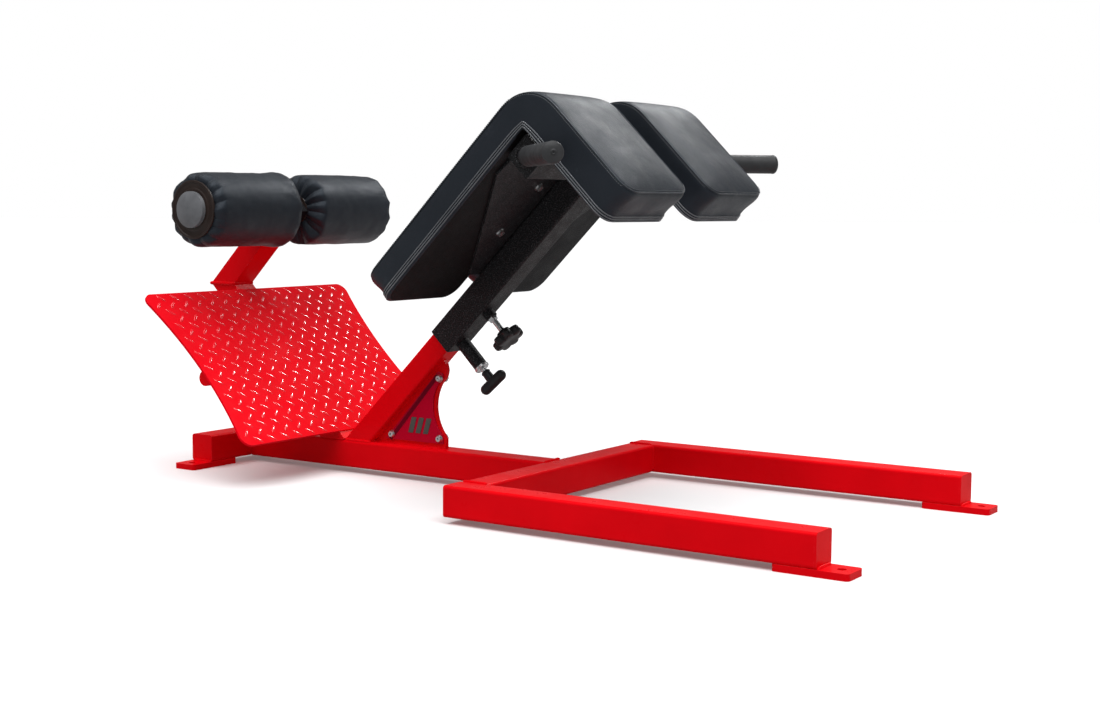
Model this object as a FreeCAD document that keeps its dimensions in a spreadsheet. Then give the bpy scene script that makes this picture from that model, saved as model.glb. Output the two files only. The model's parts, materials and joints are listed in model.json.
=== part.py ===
"""Roman chair (45 degree back-extension bench) as a parametric FreeCAD document.

World frame: +X towards the open end of the U-shaped base, +Y to the user's left, +Z up.
The origin lies on the floor under the centre of the machine's bounding box.

Everything on the inclined line is drawn in an "incline frame": u runs up the 45 degree upright,
w stands square to it (up and back), and its origin is where the upright's axis meets the spine's top.
"""
import FreeCAD, Part
import os
from math import cos, sin, radians, sqrt, hypot, pi

import Sketcher

Vector = FreeCAD.Vector
Rotation = FreeCAD.Rotation
Placement = FreeCAD.Placement

# ----------------------------------------------------------------------------- driving sizes (mm)
SIZES = {
    # base of 60 mm box section on 12 mm floor plates
    "base_tube": 60, "base_wall": 3, "base_corner": 6, "pad_plate": 12,
    "bay_back": 64.5, "rail_length": 745.5, "base_width": 734, "spine_length": 810,
    "rear_length": 310, "end_plate": 4,
    "foot_inside": 80, "foot_outside": 55.5, "foot_corner": 8, "anchor_bore": 16, "anchor_inset": 24,
    # incline frame
    "incline": 45, "incline_back": 432.7,
    "upright_size": 50, "upright_wall": 3, "upright_length": 815, "upright_corner": 4,
    "index_bore": 12.6, "index_pitch": 25, "index_count": 9,
    # standing platform and roller post
    "deck_face": -15.3, "deck_sheet": 5, "deck_low": 43.5, "deck_high": 469.5,
    "deck_end_half": 331, "deck_waist_half": 301, "deck_corner": 22,
    "post_width": 60, "post_depth": 50, "post_wall": 3, "elbow_drop": -45.3, "elbow_rise": 516.77,
    "post_top": 217, "axle_rise": 195.6, "brace_size": 33.7, "brace_bore": 27.5, "brace_rise": 245,
    "brace_end": 284,
    # ankle rollers
    "axle_size": 25, "axle_half": 295, "roller_size": 158, "roller_in": 33, "roller_out": 285,
    "roller_bore": 25.12, "core_size": 40, "roller_disc": 124, "roller_cap": 77, "roller_cap_depth": 17,
    "washer_size": 48,
    # telescoping carriage
    "sleeve_size": 60, "sleeve_wall": 4, "sleeve_corner": 5, "sleeve_low": 325.7, "sleeve_high": 826.7,
    "liner_inner": 50.2, "liner_outer": 51.9, "liner_length": 18,
    "cross_rise": 856.7, "cross_half": 254,
    "grip_size": 39, "handle_size": 32, "handle_reach": 247, "handle_splay": 45,
    "flange_sheet": 5, "board_sheet": 12, "cushion_in": 43, "cushion_out": 272,
    "cushion_low": 423, "cushion_top": 970.7, "cushion_face": 97.5, "cushion_tail": -207,
    "cushion_bend": 80, "cushion_corner": 32,
    "fixing_size": 8,
    # index pin and lock screw
    "pin_rise": 353.3, "pin_size": 12, "pin_tip": -25.6, "barrel_size": 30, "barrel_end": -98,
    "barrel_bore": 12.12, "barrel_room": 22, "tee_offset": -141.5, "tee_length": 68, "tee_size": 23, "stem_size": 20,
    "pin_travel": 8,
    "lock_rise": 445.7, "lock_size": 12, "lock_bore": 12.1, "knob_size": 70, "knob_face": -82,
    "knob_depth": 28, "boss_size": 26, "boss_depth": 15,
    # gusset and badge
    "gusset_sheet": 10, "gusset_base": 194.6, "badge_sheet": 4, "badge_bolt": 10,
}

doc = FreeCAD.newDocument("roman_chair")
sheet = doc.addObject("Spreadsheet::Sheet", "sheet")
for row, (alias, number) in enumerate(SIZES.items(), start=1):
    sheet.set("A%d" % row, alias)
    sheet.set("B%d" % row, str(number))
    sheet.setAlias("B%d" % row, alias)
doc.recompute()

PARTS = []
ROOT_HALF = sqrt(0.5)


def size(alias):
    """Value of one spreadsheet cell."""
    return float(getattr(sheet, alias))


# ----------------------------------------------------------------------------- frames
FLOOR_TOP = size("pad_plate") + size("base_tube")          # top face of the base tubes
INCLINE_ORIGIN = Vector(-size("incline_back"), 0, FLOOR_TOP)
TILT = Rotation(Vector(0, 1, 0), -size("incline"))
INCLINE = Placement(INCLINE_ORIGIN, TILT)


def world(u, y, w):
    """World position of a point given in the incline frame."""
    return INCLINE.multVec(Vector(u, y, w))


def standing(x, y, z):
    """Placement of a piece drawn upright at a world position."""
    return Placement(Vector(x, y, z), Rotation())


def inclined(u, y, w):
    """Placement of a piece drawn in the incline frame at an offset."""
    return Placement(world(u, y, w), TILT)


def aimed(point, direction):
    """Placement that turns a piece's own +Z to a direction."""
    return Placement(point, Rotation(Vector(0, 0, 1), direction))


def along_y(x, y, z):
    """Placement of a piece whose own +Z runs along world +Y."""
    return aimed(Vector(x, y, z), Vector(0, 1, 0))


# ----------------------------------------------------------------------------- modelling helpers
def keep(label, item, placement=None):
    """Give a finished sub-part its label and place and put it on the export list."""
    item.Label = label
    if placement is not None:
        item.Placement = placement
    PARTS.append(item)
    return item


def new_sketch(body, role):
    """Empty sketch on one of the body's own origin planes."""
    plane = next(f for f in body.Origin.OriginFeatures if f.Role == role)
    sketch = body.newObject("Sketcher::SketchObject", "Sketch")
    sketch.AttachmentSupport = [(plane, "")]
    sketch.MapMode = "FlatFace"
    return sketch


def draw_rectangle(sketch, across, along, centre_x=0.0, centre_y=0.0):
    """Rectangle about a centre; across and along are expressions for its full width and height."""
    first = sketch.GeometryCount
    corners = [Vector(centre_x + a, centre_y + b, 0) for a, b in ((-9, -9), (9, -9), (9, 9), (-9, 9))]
    for index in range(4):
        sketch.addGeometry(Part.LineSegment(corners[index], corners[(index + 1) % 4]))
    add = sketch.addConstraint
    for index in range(4):
        add(Sketcher.Constraint("Coincident", first + index, 2, first + (index + 1) % 4, 1))
    for index, kind in enumerate(("Horizontal", "Vertical", "Horizontal", "Vertical")):
        add(Sketcher.Constraint(kind, first + index))
    wide = add(Sketcher.Constraint("DistanceX", first, 1, first, 2, 18))
    tall = add(Sketcher.Constraint("DistanceY", first + 1, 1, first + 1, 2, 18))
    left = add(Sketcher.Constraint("DistanceX", -1, 1, first, 2, centre_x + 9))
    low = add(Sketcher.Constraint("DistanceY", -1, 1, first + 1, 2, centre_y + 9))
    sketch.setExpression("Constraints[%d]" % wide, across)
    sketch.setExpression("Constraints[%d]" % tall, along)
    sketch.setExpression("Constraints[%d]" % left, "(%s) / 2 + %s" % (across, centre_x))
    sketch.setExpression("Constraints[%d]" % low, "(%s) / 2 + %s" % (along, centre_y))


def draw_circle(sketch, diameter, centre_x=0.0, centre_y=0.0):
    """Circle whose diameter is an expression."""
    index = sketch.addGeometry(Part.Circle(Vector(centre_x, centre_y, 0), Vector(0, 0, 1), 5))
    add = sketch.addConstraint
    if centre_x == 0 and centre_y == 0:
        add(Sketcher.Constraint("Coincident", index, 3, -1, 1))
    else:
        add(Sketcher.Constraint("DistanceX", -1, 1, index, 3, centre_x))
        add(Sketcher.Constraint("DistanceY", -1, 1, index, 3, centre_y))
    bound = add(Sketcher.Constraint("Diameter", index, 10))
    sketch.setExpression("Constraints[%d]" % bound, diameter)


def draw_outline(sketch, points, bulges=None):
    """Closed outline through points; bulges maps a side's index to the middle point of its arc."""
    first = sketch.GeometryCount
    count = len(points)
    flat = [Vector(x, y, 0) for x, y in points]
    for index in range(count):
        start, end = flat[index], flat[(index + 1) % count]
        middle = (bulges or {}).get(index)
        if middle is None:
            sketch.addGeometry(Part.LineSegment(start, end))
        else:
            sketch.addGeometry(Part.Arc(start, Vector(middle[0], middle[1], 0), end))
    for index in range(count):
        sketch.addConstraint(Sketcher.Constraint("Block", first + index))


def pad(body, sketch, length, both_ways=False):
    """Pad a sketch by an expression."""
    feature = body.newObject("PartDesign::Pad", "Pad")
    feature.Profile = sketch
    feature.Midplane = both_ways
    feature.setExpression("Length", length)
    doc.recompute()
    return feature


def pocket(body, sketch, length=None, both_ways=True):
    """Cut a sketch through the body, or to a depth given as an expression, and prove that it cut."""
    before = body.Tip.Shape.Volume
    feature = body.newObject("PartDesign::Pocket", "Pocket")
    feature.Profile = sketch
    feature.Midplane = both_ways
    if length is None:
        feature.Type = "ThroughAll"
    else:
        feature.setExpression("Length", length)
    doc.recompute()
    if not feature.Shape.Volume < before - 1e-6:
        raise RuntimeError("pocket in %s cut nothing" % body.Label)
    return feature


def edges_along(shape, direction, wanted=None):
    """Names of the straight edges that run along a direction and pass the wanted test."""
    names = []
    for index, edge in enumerate(shape.Edges, start=1):
        if edge.Curve.TypeId != "Part::GeomLine":
            continue
        run = (edge.Vertexes[-1].Point - edge.Vertexes[0].Point)
        if run.Length > 0 and abs(abs(run.normalize().dot(direction)) - 1) < 1e-6:
            if wanted is None or wanted(edge.CenterOfMass):
                names.append("Edge%d" % index)
    return names


def round_edges(body, names, radius):
    """Fillet named edges of the body's tip by an expression."""
    base = body.Tip
    feature = body.newObject("PartDesign::Fillet", "Fillet")
    feature.Base = (base, names)
    feature.setExpression("Radius", radius)
    doc.recompute()
    return feature


def new_body():
    return doc.addObject("PartDesign::Body", "Body")


def square_tube(label, across, along, wall, corner, length, placement):
    """Rectangular tube along its own +Z."""
    body = new_body()
    sketch = new_sketch(body, "XY_Plane")
    draw_rectangle(sketch, across, along)
    pad(body, sketch, length)
    round_edges(body, edges_along(body.Tip.Shape, Vector(0, 0, 1)), corner)
    inner = new_sketch(body, "XY_Plane")
    draw_rectangle(inner, "%s - 2 * %s" % (across, wall), "%s - 2 * %s" % (along, wall))
    pocket(body, inner)
    return keep(label, body, placement)


def side_plate(label, points, thickness, placement, bulges=None, holes=(), corner=None):
    """Plate with its outline in its own XZ plane, thickness shared to both sides of that plane."""
    body = new_body()
    sketch = new_sketch(body, "XZ_Plane")
    draw_outline(sketch, points, bulges)
    pad(body, sketch, thickness, both_ways=True)
    if corner:
        round_edges(body, edges_along(body.Tip.Shape, Vector(0, 1, 0)), corner)
    if holes:
        bores = new_sketch(body, "XZ_Plane")
        for x, z, diameter in holes:
            draw_circle(bores, diameter, x, z)
        pocket(body, bores)
    return keep(label, body, placement)


def flat_plate(label, points, thickness, placement, holes=(), corner=None, bulges=None):
    """Plate with its outline in its own XY plane, growing along +Z."""
    body = new_body()
    sketch = new_sketch(body, "XY_Plane")
    draw_outline(sketch, points, bulges)
    pad(body, sketch, thickness)
    if corner:
        round_edges(body, edges_along(body.Tip.Shape, Vector(0, 0, 1)), corner)
    if holes:
        bores = new_sketch(body, "XY_Plane")
        for x, y, diameter in holes:
            draw_circle(bores, diameter, x, y)
        pocket(body, bores)
    return keep(label, body, placement)


def turned(label, outline, placement, bulges=None):
    """Solid of revolution about its own Z axis; outline is (radius, height) pairs."""
    body = new_body()
    sketch = new_sketch(body, "XZ_Plane")
    draw_outline(sketch, outline, bulges)
    feature = body.newObject("PartDesign::Revolution", "Revolution")
    feature.Profile = sketch
    axis = next(f for f in body.Origin.OriginFeatures if f.Role == "Z_Axis")
    feature.ReferenceAxis = (axis, [""])
    feature.Angle = 360
    doc.recompute()
    return keep(label, body, placement)


def ring_outline(inner, outer, low, high):
    """Outline of a plain ring for turned()."""
    return [(inner, low), (outer, low), (outer, high), (inner, high)]


def group(label, solids, placement=None):
    """Several separate solids in one node, such as a set of identical fasteners."""
    item = doc.addObject("Part::Feature", "Group")
    item.Shape = Part.makeCompound(solids)
    return keep(label, item, placement or Placement())


def mirror_name(side):
    return "left" if side > 0 else "right"


def hexagon_prism(across_flats, height):
    """Hexagonal prism along +Z, centred on the axis."""
    radius = across_flats / sqrt(3)
    corners = [Vector(radius * cos(k * pi / 3), radius * sin(k * pi / 3), 0) for k in range(7)]
    return Part.Face(Part.makePolygon(corners)).extrude(Vector(0, 0, height))


# ----------------------------------------------------------------------------- base frame
def build_base():
    tube = size("base_tube")
    middle = size("pad_plate") + tube / 2
    cap = size("end_plate")
    rail_y = size("base_width") / 2 - tube / 2
    bay = size("bay_back")
    rear_x = bay - size("spine_length") - tube / 2
    common = ("sheet.base_tube", "sheet.base_tube", "sheet.base_wall", "sheet.base_corner")

    square_tube("spine_tube", *common, "sheet.spine_length",
                aimed(Vector(bay - size("spine_length"), 0, middle), Vector(1, 0, 0)))
    square_tube("front_cross_tube", *common, "sheet.base_width - 2 * sheet.base_tube",
                along_y(bay + tube / 2, -(rail_y - tube / 2), middle))
    for side in (1, -1):
        square_tube(mirror_name(side) + "_rail", *common, "sheet.rail_length - 2 * sheet.end_plate",
                    aimed(Vector(bay + cap, side * rail_y, middle), Vector(1, 0, 0)))
    square_tube("rear_cross_tube", *common, "sheet.rear_length - 2 * sheet.end_plate",
                along_y(rear_x, -size("rear_length") / 2 + cap, middle))

    def cover(point, direction):
        block = Part.makeBox(tube, tube, cap, Vector(-tube / 2, -tube / 2, 0))
        upright = [e for e in block.Edges if abs(e.tangentAt(e.FirstParameter).z) > 0.9]
        block = block.makeFillet(size("base_corner"), upright)
        block.Placement = aimed(point, direction)
        return block

    rail_end = bay + size("rail_length")
    group("rail_end_plates", [cover(Vector(x, side * rail_y, middle), Vector(1, 0, 0))
                              for side in (1, -1) for x in (bay, rail_end - cap)])
    rear_end = size("rear_length") / 2
    group("rear_tube_end_plates", [cover(Vector(rear_x, y, middle), Vector(0, 1, 0))
                                   for y in (rear_end - cap, -rear_end)])

    # floor plates: the rails' run forward, the rear tube's run outward
    length = size("foot_inside") + size("foot_outside")
    half = tube / 2
    outline = [(0, -half), (length, -half), (length, half), (0, half)]
    hole = [(length - size("anchor_inset"), 0, "sheet.anchor_bore")]
    for side in (1, -1):
        flat_plate(mirror_name(side) + "_front_foot", outline, "sheet.pad_plate",
                   standing(rail_end - size("foot_inside"), side * rail_y, 0), hole, "sheet.foot_corner")
        turn = Placement(Vector(rear_x, side * (rear_end - size("foot_inside")), 0),
                         Rotation(Vector(0, 0, 1), side * 90))
        flat_plate(mirror_name(side) + "_rear_foot", outline, "sheet.pad_plate", turn, hole,
                   "sheet.foot_corner")


# ----------------------------------------------------------------------------- upright and gusset
def build_upright():
    half = size("upright_size") / 2
    wall = size("upright_wall")
    end = size("upright_length")
    inner = half - wall
    body = new_body()
    outline = new_sketch(body, "XZ_Plane")
    draw_outline(outline, [(-half, half), (half, -half), (end, -half), (end, half)])
    pad(body, outline, "sheet.upright_size", both_ways=True)
    round_edges(body, edges_along(body.Tip.Shape, Vector(1, 0, 0)), "sheet.upright_corner")
    hollow = new_sketch(body, "XZ_Plane")
    draw_outline(hollow, [(-inner, inner), (inner, -inner), (end, -inner), (end, inner)])
    pocket(body, hollow, "sheet.upright_size - 2 * sheet.upright_wall")
    holes = new_sketch(body, "XY_Plane")
    first = size("pin_rise")
    draw_circle(holes, "sheet.index_bore", first, 0)
    before = body.Tip.Shape.Volume
    bore = body.newObject("PartDesign::Pocket", "IndexHole")
    bore.Profile = holes
    bore.setExpression("Length", "sheet.upright_size")
    doc.recompute()
    if not bore.Shape.Volume < before - 1:
        raise RuntimeError("the index hole cut nothing")
    row = body.newObject("PartDesign::LinearPattern", "IndexRow")
    row.Originals = [bore]
    row.Direction = (next(f for f in body.Origin.OriginFeatures if f.Role == "X_Axis"), [""])
    row.setExpression("Length", "sheet.index_pitch * (sheet.index_count - 1)")
    row.setExpression("Occurrences", "sheet.index_count")
    body.Tip = row
    doc.recompute()
    keep("upright_tube", body, INCLINE)

    # plastic plug in the upright's open top
    plug_depth, lip = 14, 3
    stem = Part.makeBox(plug_depth, 2 * inner - 0.4, 2 * inner - 0.4, Vector(0, -inner + 0.2, -inner + 0.2))
    head = Part.makeBox(lip, 2 * half, 2 * half, Vector(plug_depth, -half, -half))
    head = head.makeFillet(size("upright_corner"),
                           [e for e in head.Edges if abs(e.tangentAt(e.FirstParameter).x) > 0.9])
    plug = doc.addObject("Part::Feature", "Plug")
    plug.Shape = stem.fuse(head).removeSplitter()
    keep("upright_top_plug", plug, inclined(end - plug_depth, 0, 0))


def gusset_outline():
    """World XZ corners of the gusset, from the foot of the upright round to its top ear, and its arcs."""
    half = size("upright_size") / 2
    foot = world(half, 0, -half)
    ear = world(291, 0, -half)
    right = foot.x + size("gusset_base")
    corners = [(foot.x, foot.z), (right, foot.z), (right, foot.z + 20), (right - 6, foot.z + 30),
               (right - 13, foot.z + 139), (right + 3, foot.z + 170), (right, foot.z + 182), (ear.x, ear.z)]
    return corners, {3: (right - 27, foot.z + 94), 4: (right, foot.z + 155)}


BADGE_LEG = 129            # the three fixing screws make a right isosceles triangle


def badge_screw_places():
    corners, _ = gusset_outline()
    right = corners[1][0] - 14.5
    low = corners[0][1] + 20.8
    return [(right - BADGE_LEG, low), (right, low), (right, low + BADGE_LEG)]


def build_gusset():
    corners, arcs = gusset_outline()
    screws = badge_screw_places()
    bolt = [(x, z, "sheet.badge_bolt + 0.4") for x, z in screws]
    side_plate("gusset_plate", corners, "sheet.gusset_sheet", standing(0, 0, 0), bulges=arcs, holes=bolt)

    right, low = screws[1]
    edge, reveal = 11.5, 4.5
    slope = edge * sqrt(2)
    outline = [(right - BADGE_LEG - edge - 5, low - edge + 1), (right + edge - 1.5, low - edge + 1),
               (right + edge - 1.5, low), (right + edge - 6, low + 10),
               (corners[4][0] - reveal, corners[4][1]), (right + edge - 3, low + BADGE_LEG + 10),
               (right - 4, low + BADGE_LEG + slope - 2)]
    waist, lobe = arcs[3], arcs[4]
    badge_arcs = {3: (waist[0] - reveal, waist[1]), 4: (lobe[0] - reveal - 1, lobe[1] + 1)}
    badge_y = -size("gusset_sheet") / 2 - size("badge_sheet") / 2
    side_plate("badge_plate", outline, "sheet.badge_sheet", standing(0, badge_y, 0), bulges=badge_arcs,
               holes=bolt)

    radius = size("badge_bolt") / 2
    head, dome = 8.75, 5.0
    front = -size("gusset_sheet") / 2 - size("badge_sheet")
    back = size("gusset_sheet") / 2
    nut_depth = 8
    solids, nuts = [], []
    for x, z in screws:
        shank = Part.makeCylinder(radius, back + nut_depth + 3 - front, Vector(x, front, z), Vector(0, 1, 0))
        button = Part.makeCone(head, head - 3, dome, Vector(x, front, z), Vector(0, -1, 0))
        socket = hexagon_prism(6, 3)
        socket.Placement = aimed(Vector(x, front - dome, z), Vector(0, 1, 0))
        solids.append(shank.fuse(button).cut(socket).removeSplitter())
        nut = hexagon_prism(16, nut_depth)
        nut = nut.cut(Part.makeCylinder(radius, nut_depth))
        nut.Placement = aimed(Vector(x, back, z), Vector(0, 1, 0))
        nuts.append(nut)
    group("badge_screws", solids)
    group("badge_nuts", nuts)


# ----------------------------------------------------------------------------- platform and post
def build_platform():
    face = size("deck_face")
    sheet_depth = size("deck_sheet")
    low, high = size("deck_low"), size("deck_high")
    wide, waist = size("deck_end_half"), size("deck_waist_half")
    centre = (low + high) / 2
    # the deck's own X runs across the machine, its own Y up the slope, its +Z out of the tread
    turn = TILT.multiply(Rotation(Vector(0, 1, 0), Vector(0, 0, 1), Vector(1, 0, 0), "XYZ"))
    body = new_body()
    sketch = new_sketch(body, "XY_Plane")
    draw_outline(sketch, [(-wide, low), (wide, low), (wide, high), (-wide, high)],
                 {1: (waist, centre), 3: (-waist, centre)})
    pad(body, sketch, "sheet.deck_sheet")
    round_edges(body, edges_along(body.Tip.Shape, Vector(0, 0, 1)), "sheet.deck_corner")
    keep("foot_plate", body, Placement(world(face - sheet_depth, 0, 0), turn))

    half = size("post_depth") / 2
    wall = size("post_wall")
    elbow_u, elbow_w = size("elbow_drop"), size("elbow_rise")
    level = elbow_u + elbow_w

    def slanted(label, outer, inner, holes=None):
        piece = new_body()
        outline = new_sketch(piece, "XZ_Plane")
        draw_outline(outline, outer)
        pad(piece, outline, "sheet.post_width", both_ways=True)
        hollow = new_sketch(piece, "XZ_Plane")
        draw_outline(hollow, inner)
        pocket(piece, hollow, "sheet.post_width - 2 * sheet.post_wall")
        if holes:
            bore = new_sketch(piece, "XZ_Plane")
            draw_circle(bore, "sheet.axle_size", *holes)
            pocket(piece, bore)
        return keep(label, piece, INCLINE)

    def lower_outline(reach, notch):
        top, bottom = elbow_u + reach, elbow_u - reach
        return [(top, notch), (-notch, notch), (bottom, -bottom), (bottom, level - bottom),
                (top, level - top)]

    upright_face = size("upright_size") / 2 + 0.2
    slanted("foot_plate_post", lower_outline(half, upright_face), lower_outline(half - wall, upright_face + wall))

    def upper_outline(reach, end):
        inner_edge, outer_edge = elbow_w - reach, elbow_w + reach
        return [(level - outer_edge, outer_edge), (level - inner_edge, inner_edge),
                (end, inner_edge), (end, outer_edge)]

    top = size("post_top")
    axle = (size("axle_rise"), elbow_w)
    slanted("roller_post", upper_outline(half, top), upper_outline(half - wall, top), axle)

    cap = Part.makeBox(size("end_plate"), size("post_width"), size("post_depth"),
                       Vector(0, -size("post_width") / 2, -half))
    plate = doc.addObject("Part::Feature", "PostCap")
    plate.Shape = cap
    keep("roller_post_cap", plate, inclined(top, 0, elbow_w))

    # round braces under the platform, one each side of the lower post
    radius = size("brace_size") / 2
    side_gap = size("post_width") / 2
    for side in (1, -1):
        point = world(face - sheet_depth - radius, side * side_gap, size("brace_rise"))
        length = size("brace_end") - side_gap
        bore, lid = size("brace_bore") / 2, 3
        turned("foot_plate_brace_" + mirror_name(side),
               [(bore, 0), (radius, 0), (radius, length), (0, length), (0, length - lid), (bore, length - lid)],
               aimed(point, Vector(0, side, 0)))


# ----------------------------------------------------------------------------- ankle rollers
def axle_centre():
    return world(size("axle_rise"), 0, size("elbow_rise"))


def build_rollers():
    centre = axle_centre()
    axle = size("axle_size") / 2
    half = size("axle_half")
    start, end = size("roller_in"), size("roller_out")
    outer = size("roller_size") / 2
    core = size("core_size") / 2
    disc = size("roller_disc") / 2
    bore = size("roller_bore") / 2
    skin, lip = 3, 3

    turned("roller_axle", [(0, -half), (axle, -half), (axle, half), (0, half)],
           along_y(centre.x, 0, centre.z))
    for side in (1, -1):
        name = mirror_name(side)
        place = aimed(centre, Vector(0, side, 0))
        turned(name + "_roller_core", ring_outline(bore, core, start, end), place)
        # the foam and its cover share a chamfered shoulder at both ends
        foam = [(outer - 8, end - lip), (outer - skin, end - 8), (outer - skin, start + 8),
                (outer - 8, start + lip)]
        turned(name + "_roller_foam", [(core, end - lip)] + foam + [(core, start + lip)], place)
        turned(name + "_roller_cover",
               [(disc, start), (outer - 6, start), (outer, start + 6), (outer, end - 6), (outer - 6, end),
                (disc, end), (disc, end - lip)] + foam + [(disc, start + lip)], place)
        rings = [Part.makeCylinder(disc, lip, Vector(0, 0, z)).cut(Part.makeCylinder(core, lip, Vector(0, 0, z)))
                 for z in (start, end - lip)]
        group(name + "_roller_discs", rings, place)
        # grey end cap, pressed on the axle's end
        cap, depth = size("roller_cap") / 2, size("roller_cap_depth")
        low = end + 2
        rim, flat = 9, 4
        turned(name + "_axle_cap",
               [(axle, low), (cap, low), (cap, low + rim), (flat, low + depth), (0, low + depth),
                (0, half), (axle, half)],
               place, {2: (cap * 0.62, low + depth - 2.6)})
    washer = size("washer_size") / 2
    face = size("post_width") / 2
    group("thrust_washers", [Part.makeCylinder(washer, start - face - 0.4, Vector(0, 0, z))
                             .cut(Part.makeCylinder(axle, start - face, Vector(0, 0, z)))
                             for z in (face, -start + 0.4)], along_y(centre.x, 0, centre.z))


# ----------------------------------------------------------------------------- carriage
def build_carriage():
    low, high = size("sleeve_low"), size("sleeve_high")
    half = size("sleeve_size") / 2
    wall = size("sleeve_wall")
    body = new_body()
    sketch = new_sketch(body, "YZ_Plane")
    draw_rectangle(sketch, "sheet.sleeve_size", "sheet.sleeve_size")
    pad(body, sketch, "sheet.sleeve_high - sheet.sleeve_low")
    round_edges(body, edges_along(body.Tip.Shape, Vector(1, 0, 0)), "sheet.sleeve_corner")
    inner = new_sketch(body, "YZ_Plane")
    draw_rectangle(inner, "sheet.sleeve_size - 2 * sheet.sleeve_wall",
                   "sheet.sleeve_size - 2 * sheet.sleeve_wall")
    pocket(body, inner)
    bores = new_sketch(body, "XY_Plane")
    draw_circle(bores, "sheet.barrel_bore", size("pin_rise") - low, 0)
    draw_circle(bores, "sheet.lock_bore", size("lock_rise") - low, 0)
    pocket(body, bores, "sheet.sleeve_size", both_ways=False)
    keep("sleeve_tube", body, inclined(low, 0, 0))

    inner_half, outer_half = size("liner_inner") / 2, size("liner_outer") / 2
    length = size("liner_length")

    def liner(u):
        block = Part.makeBox(length, 2 * outer_half, 2 * outer_half, Vector(u, -outer_half, -outer_half))
        return block.cut(Part.makeBox(length, 2 * inner_half, 2 * inner_half,
                                      Vector(u, -inner_half, -inner_half)))

    group("sleeve_liners", [liner(low + 1.5), liner(560)], INCLINE)

    # cross tube that carries the handles, turned with the incline
    cross = size("cross_rise")
    turn = TILT.multiply(Rotation(Vector(0, 0, 1), Vector(0, 1, 0)))
    square_tube("handle_cross_tube", "sheet.sleeve_size", "sheet.sleeve_size", "sheet.sleeve_wall",
                "sheet.sleeve_corner", "2 * sheet.cross_half",
                Placement(world(cross, -size("cross_half"), 0), turn))
    cap = size("end_plate")
    covers = []
    for y in (size("cross_half"), -size("cross_half") - cap):
        block = Part.makeBox(2 * half, cap, 2 * half, Vector(cross - half, y, -half))
        long_edges = [e for e in block.Edges if abs(e.tangentAt(e.FirstParameter).y) > 0.9]
        covers.append(block.makeFillet(size("sleeve_corner"), long_edges))
    group("handle_end_plates", covers, INCLINE)

    splay = radians(size("handle_splay"))
    face = size("cross_half") + cap
    bar, grip = size("handle_size") / 2, size("grip_size") / 2
    reach = size("handle_reach")
    dome, flat = 9, 4
    for side in (1, -1):
        root = world(cross, side * face, 0)
        direction = Vector(cos(splay), side * sin(splay), 0)
        place = aimed(root, direction)
        rod = Part.makeCylinder(bar, reach - dome - 4 + 60, Vector(0, 0, -60))
        rod.Placement = place
        keep_box = Part.makeBox(600, 600, 600, Vector(root.x - 300, face if side > 0 else -face - 600, 300))
        piece = doc.addObject("Part::Feature", "Rod")
        piece.Shape = rod.common(keep_box)
        keep(mirror_name(side) + "_handle", piece)
        start = grip + 2.5
        turned(mirror_name(side) + "_handle_grip",
               [(bar, start), (grip - 2, start), (grip, start + 3), (grip, reach - dome),
                (flat, reach), (0, reach), (0, reach - dome - 4), (bar, reach - dome - 4)],
               place, {3: (grip * 0.74, reach - 3)})


# ----------------------------------------------------------------------------- pads and flanges
THIGH_FIXINGS = [(625, 80), (752, 76)]      # (u, y) of the bolts under the thigh part
HIP_FIXINGS = [(-45, 120), (-125, 85)]      # (w, y) of the bolts behind the hip part


def bolt_along(axis, head_side, shank, head=13, head_depth=5.3):
    """Hexagon bolt whose shank starts at the origin and runs along axis."""
    radius = size("fixing_size") / 2
    rod = Part.makeCylinder(radius, shank)
    cap = hexagon_prism(head, head_depth)
    cap.translate(Vector(0, 0, -head_depth - 1.6))
    bolt = rod.fuse(Part.makeCylinder(radius, 1.6, Vector(0, 0, -1.6))).fuse(cap).removeSplitter()
    bolt.Placement = aimed(head_side, axis)
    return bolt


def washer_along(axis, head_side):
    radius = size("fixing_size") / 2
    ring = Part.makeCylinder(9.5, 1.6, Vector(0, 0, -1.6)).cut(Part.makeCylinder(radius, 1.6, Vector(0, 0, -1.6)))
    ring.Placement = aimed(head_side, axis)
    return ring


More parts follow.
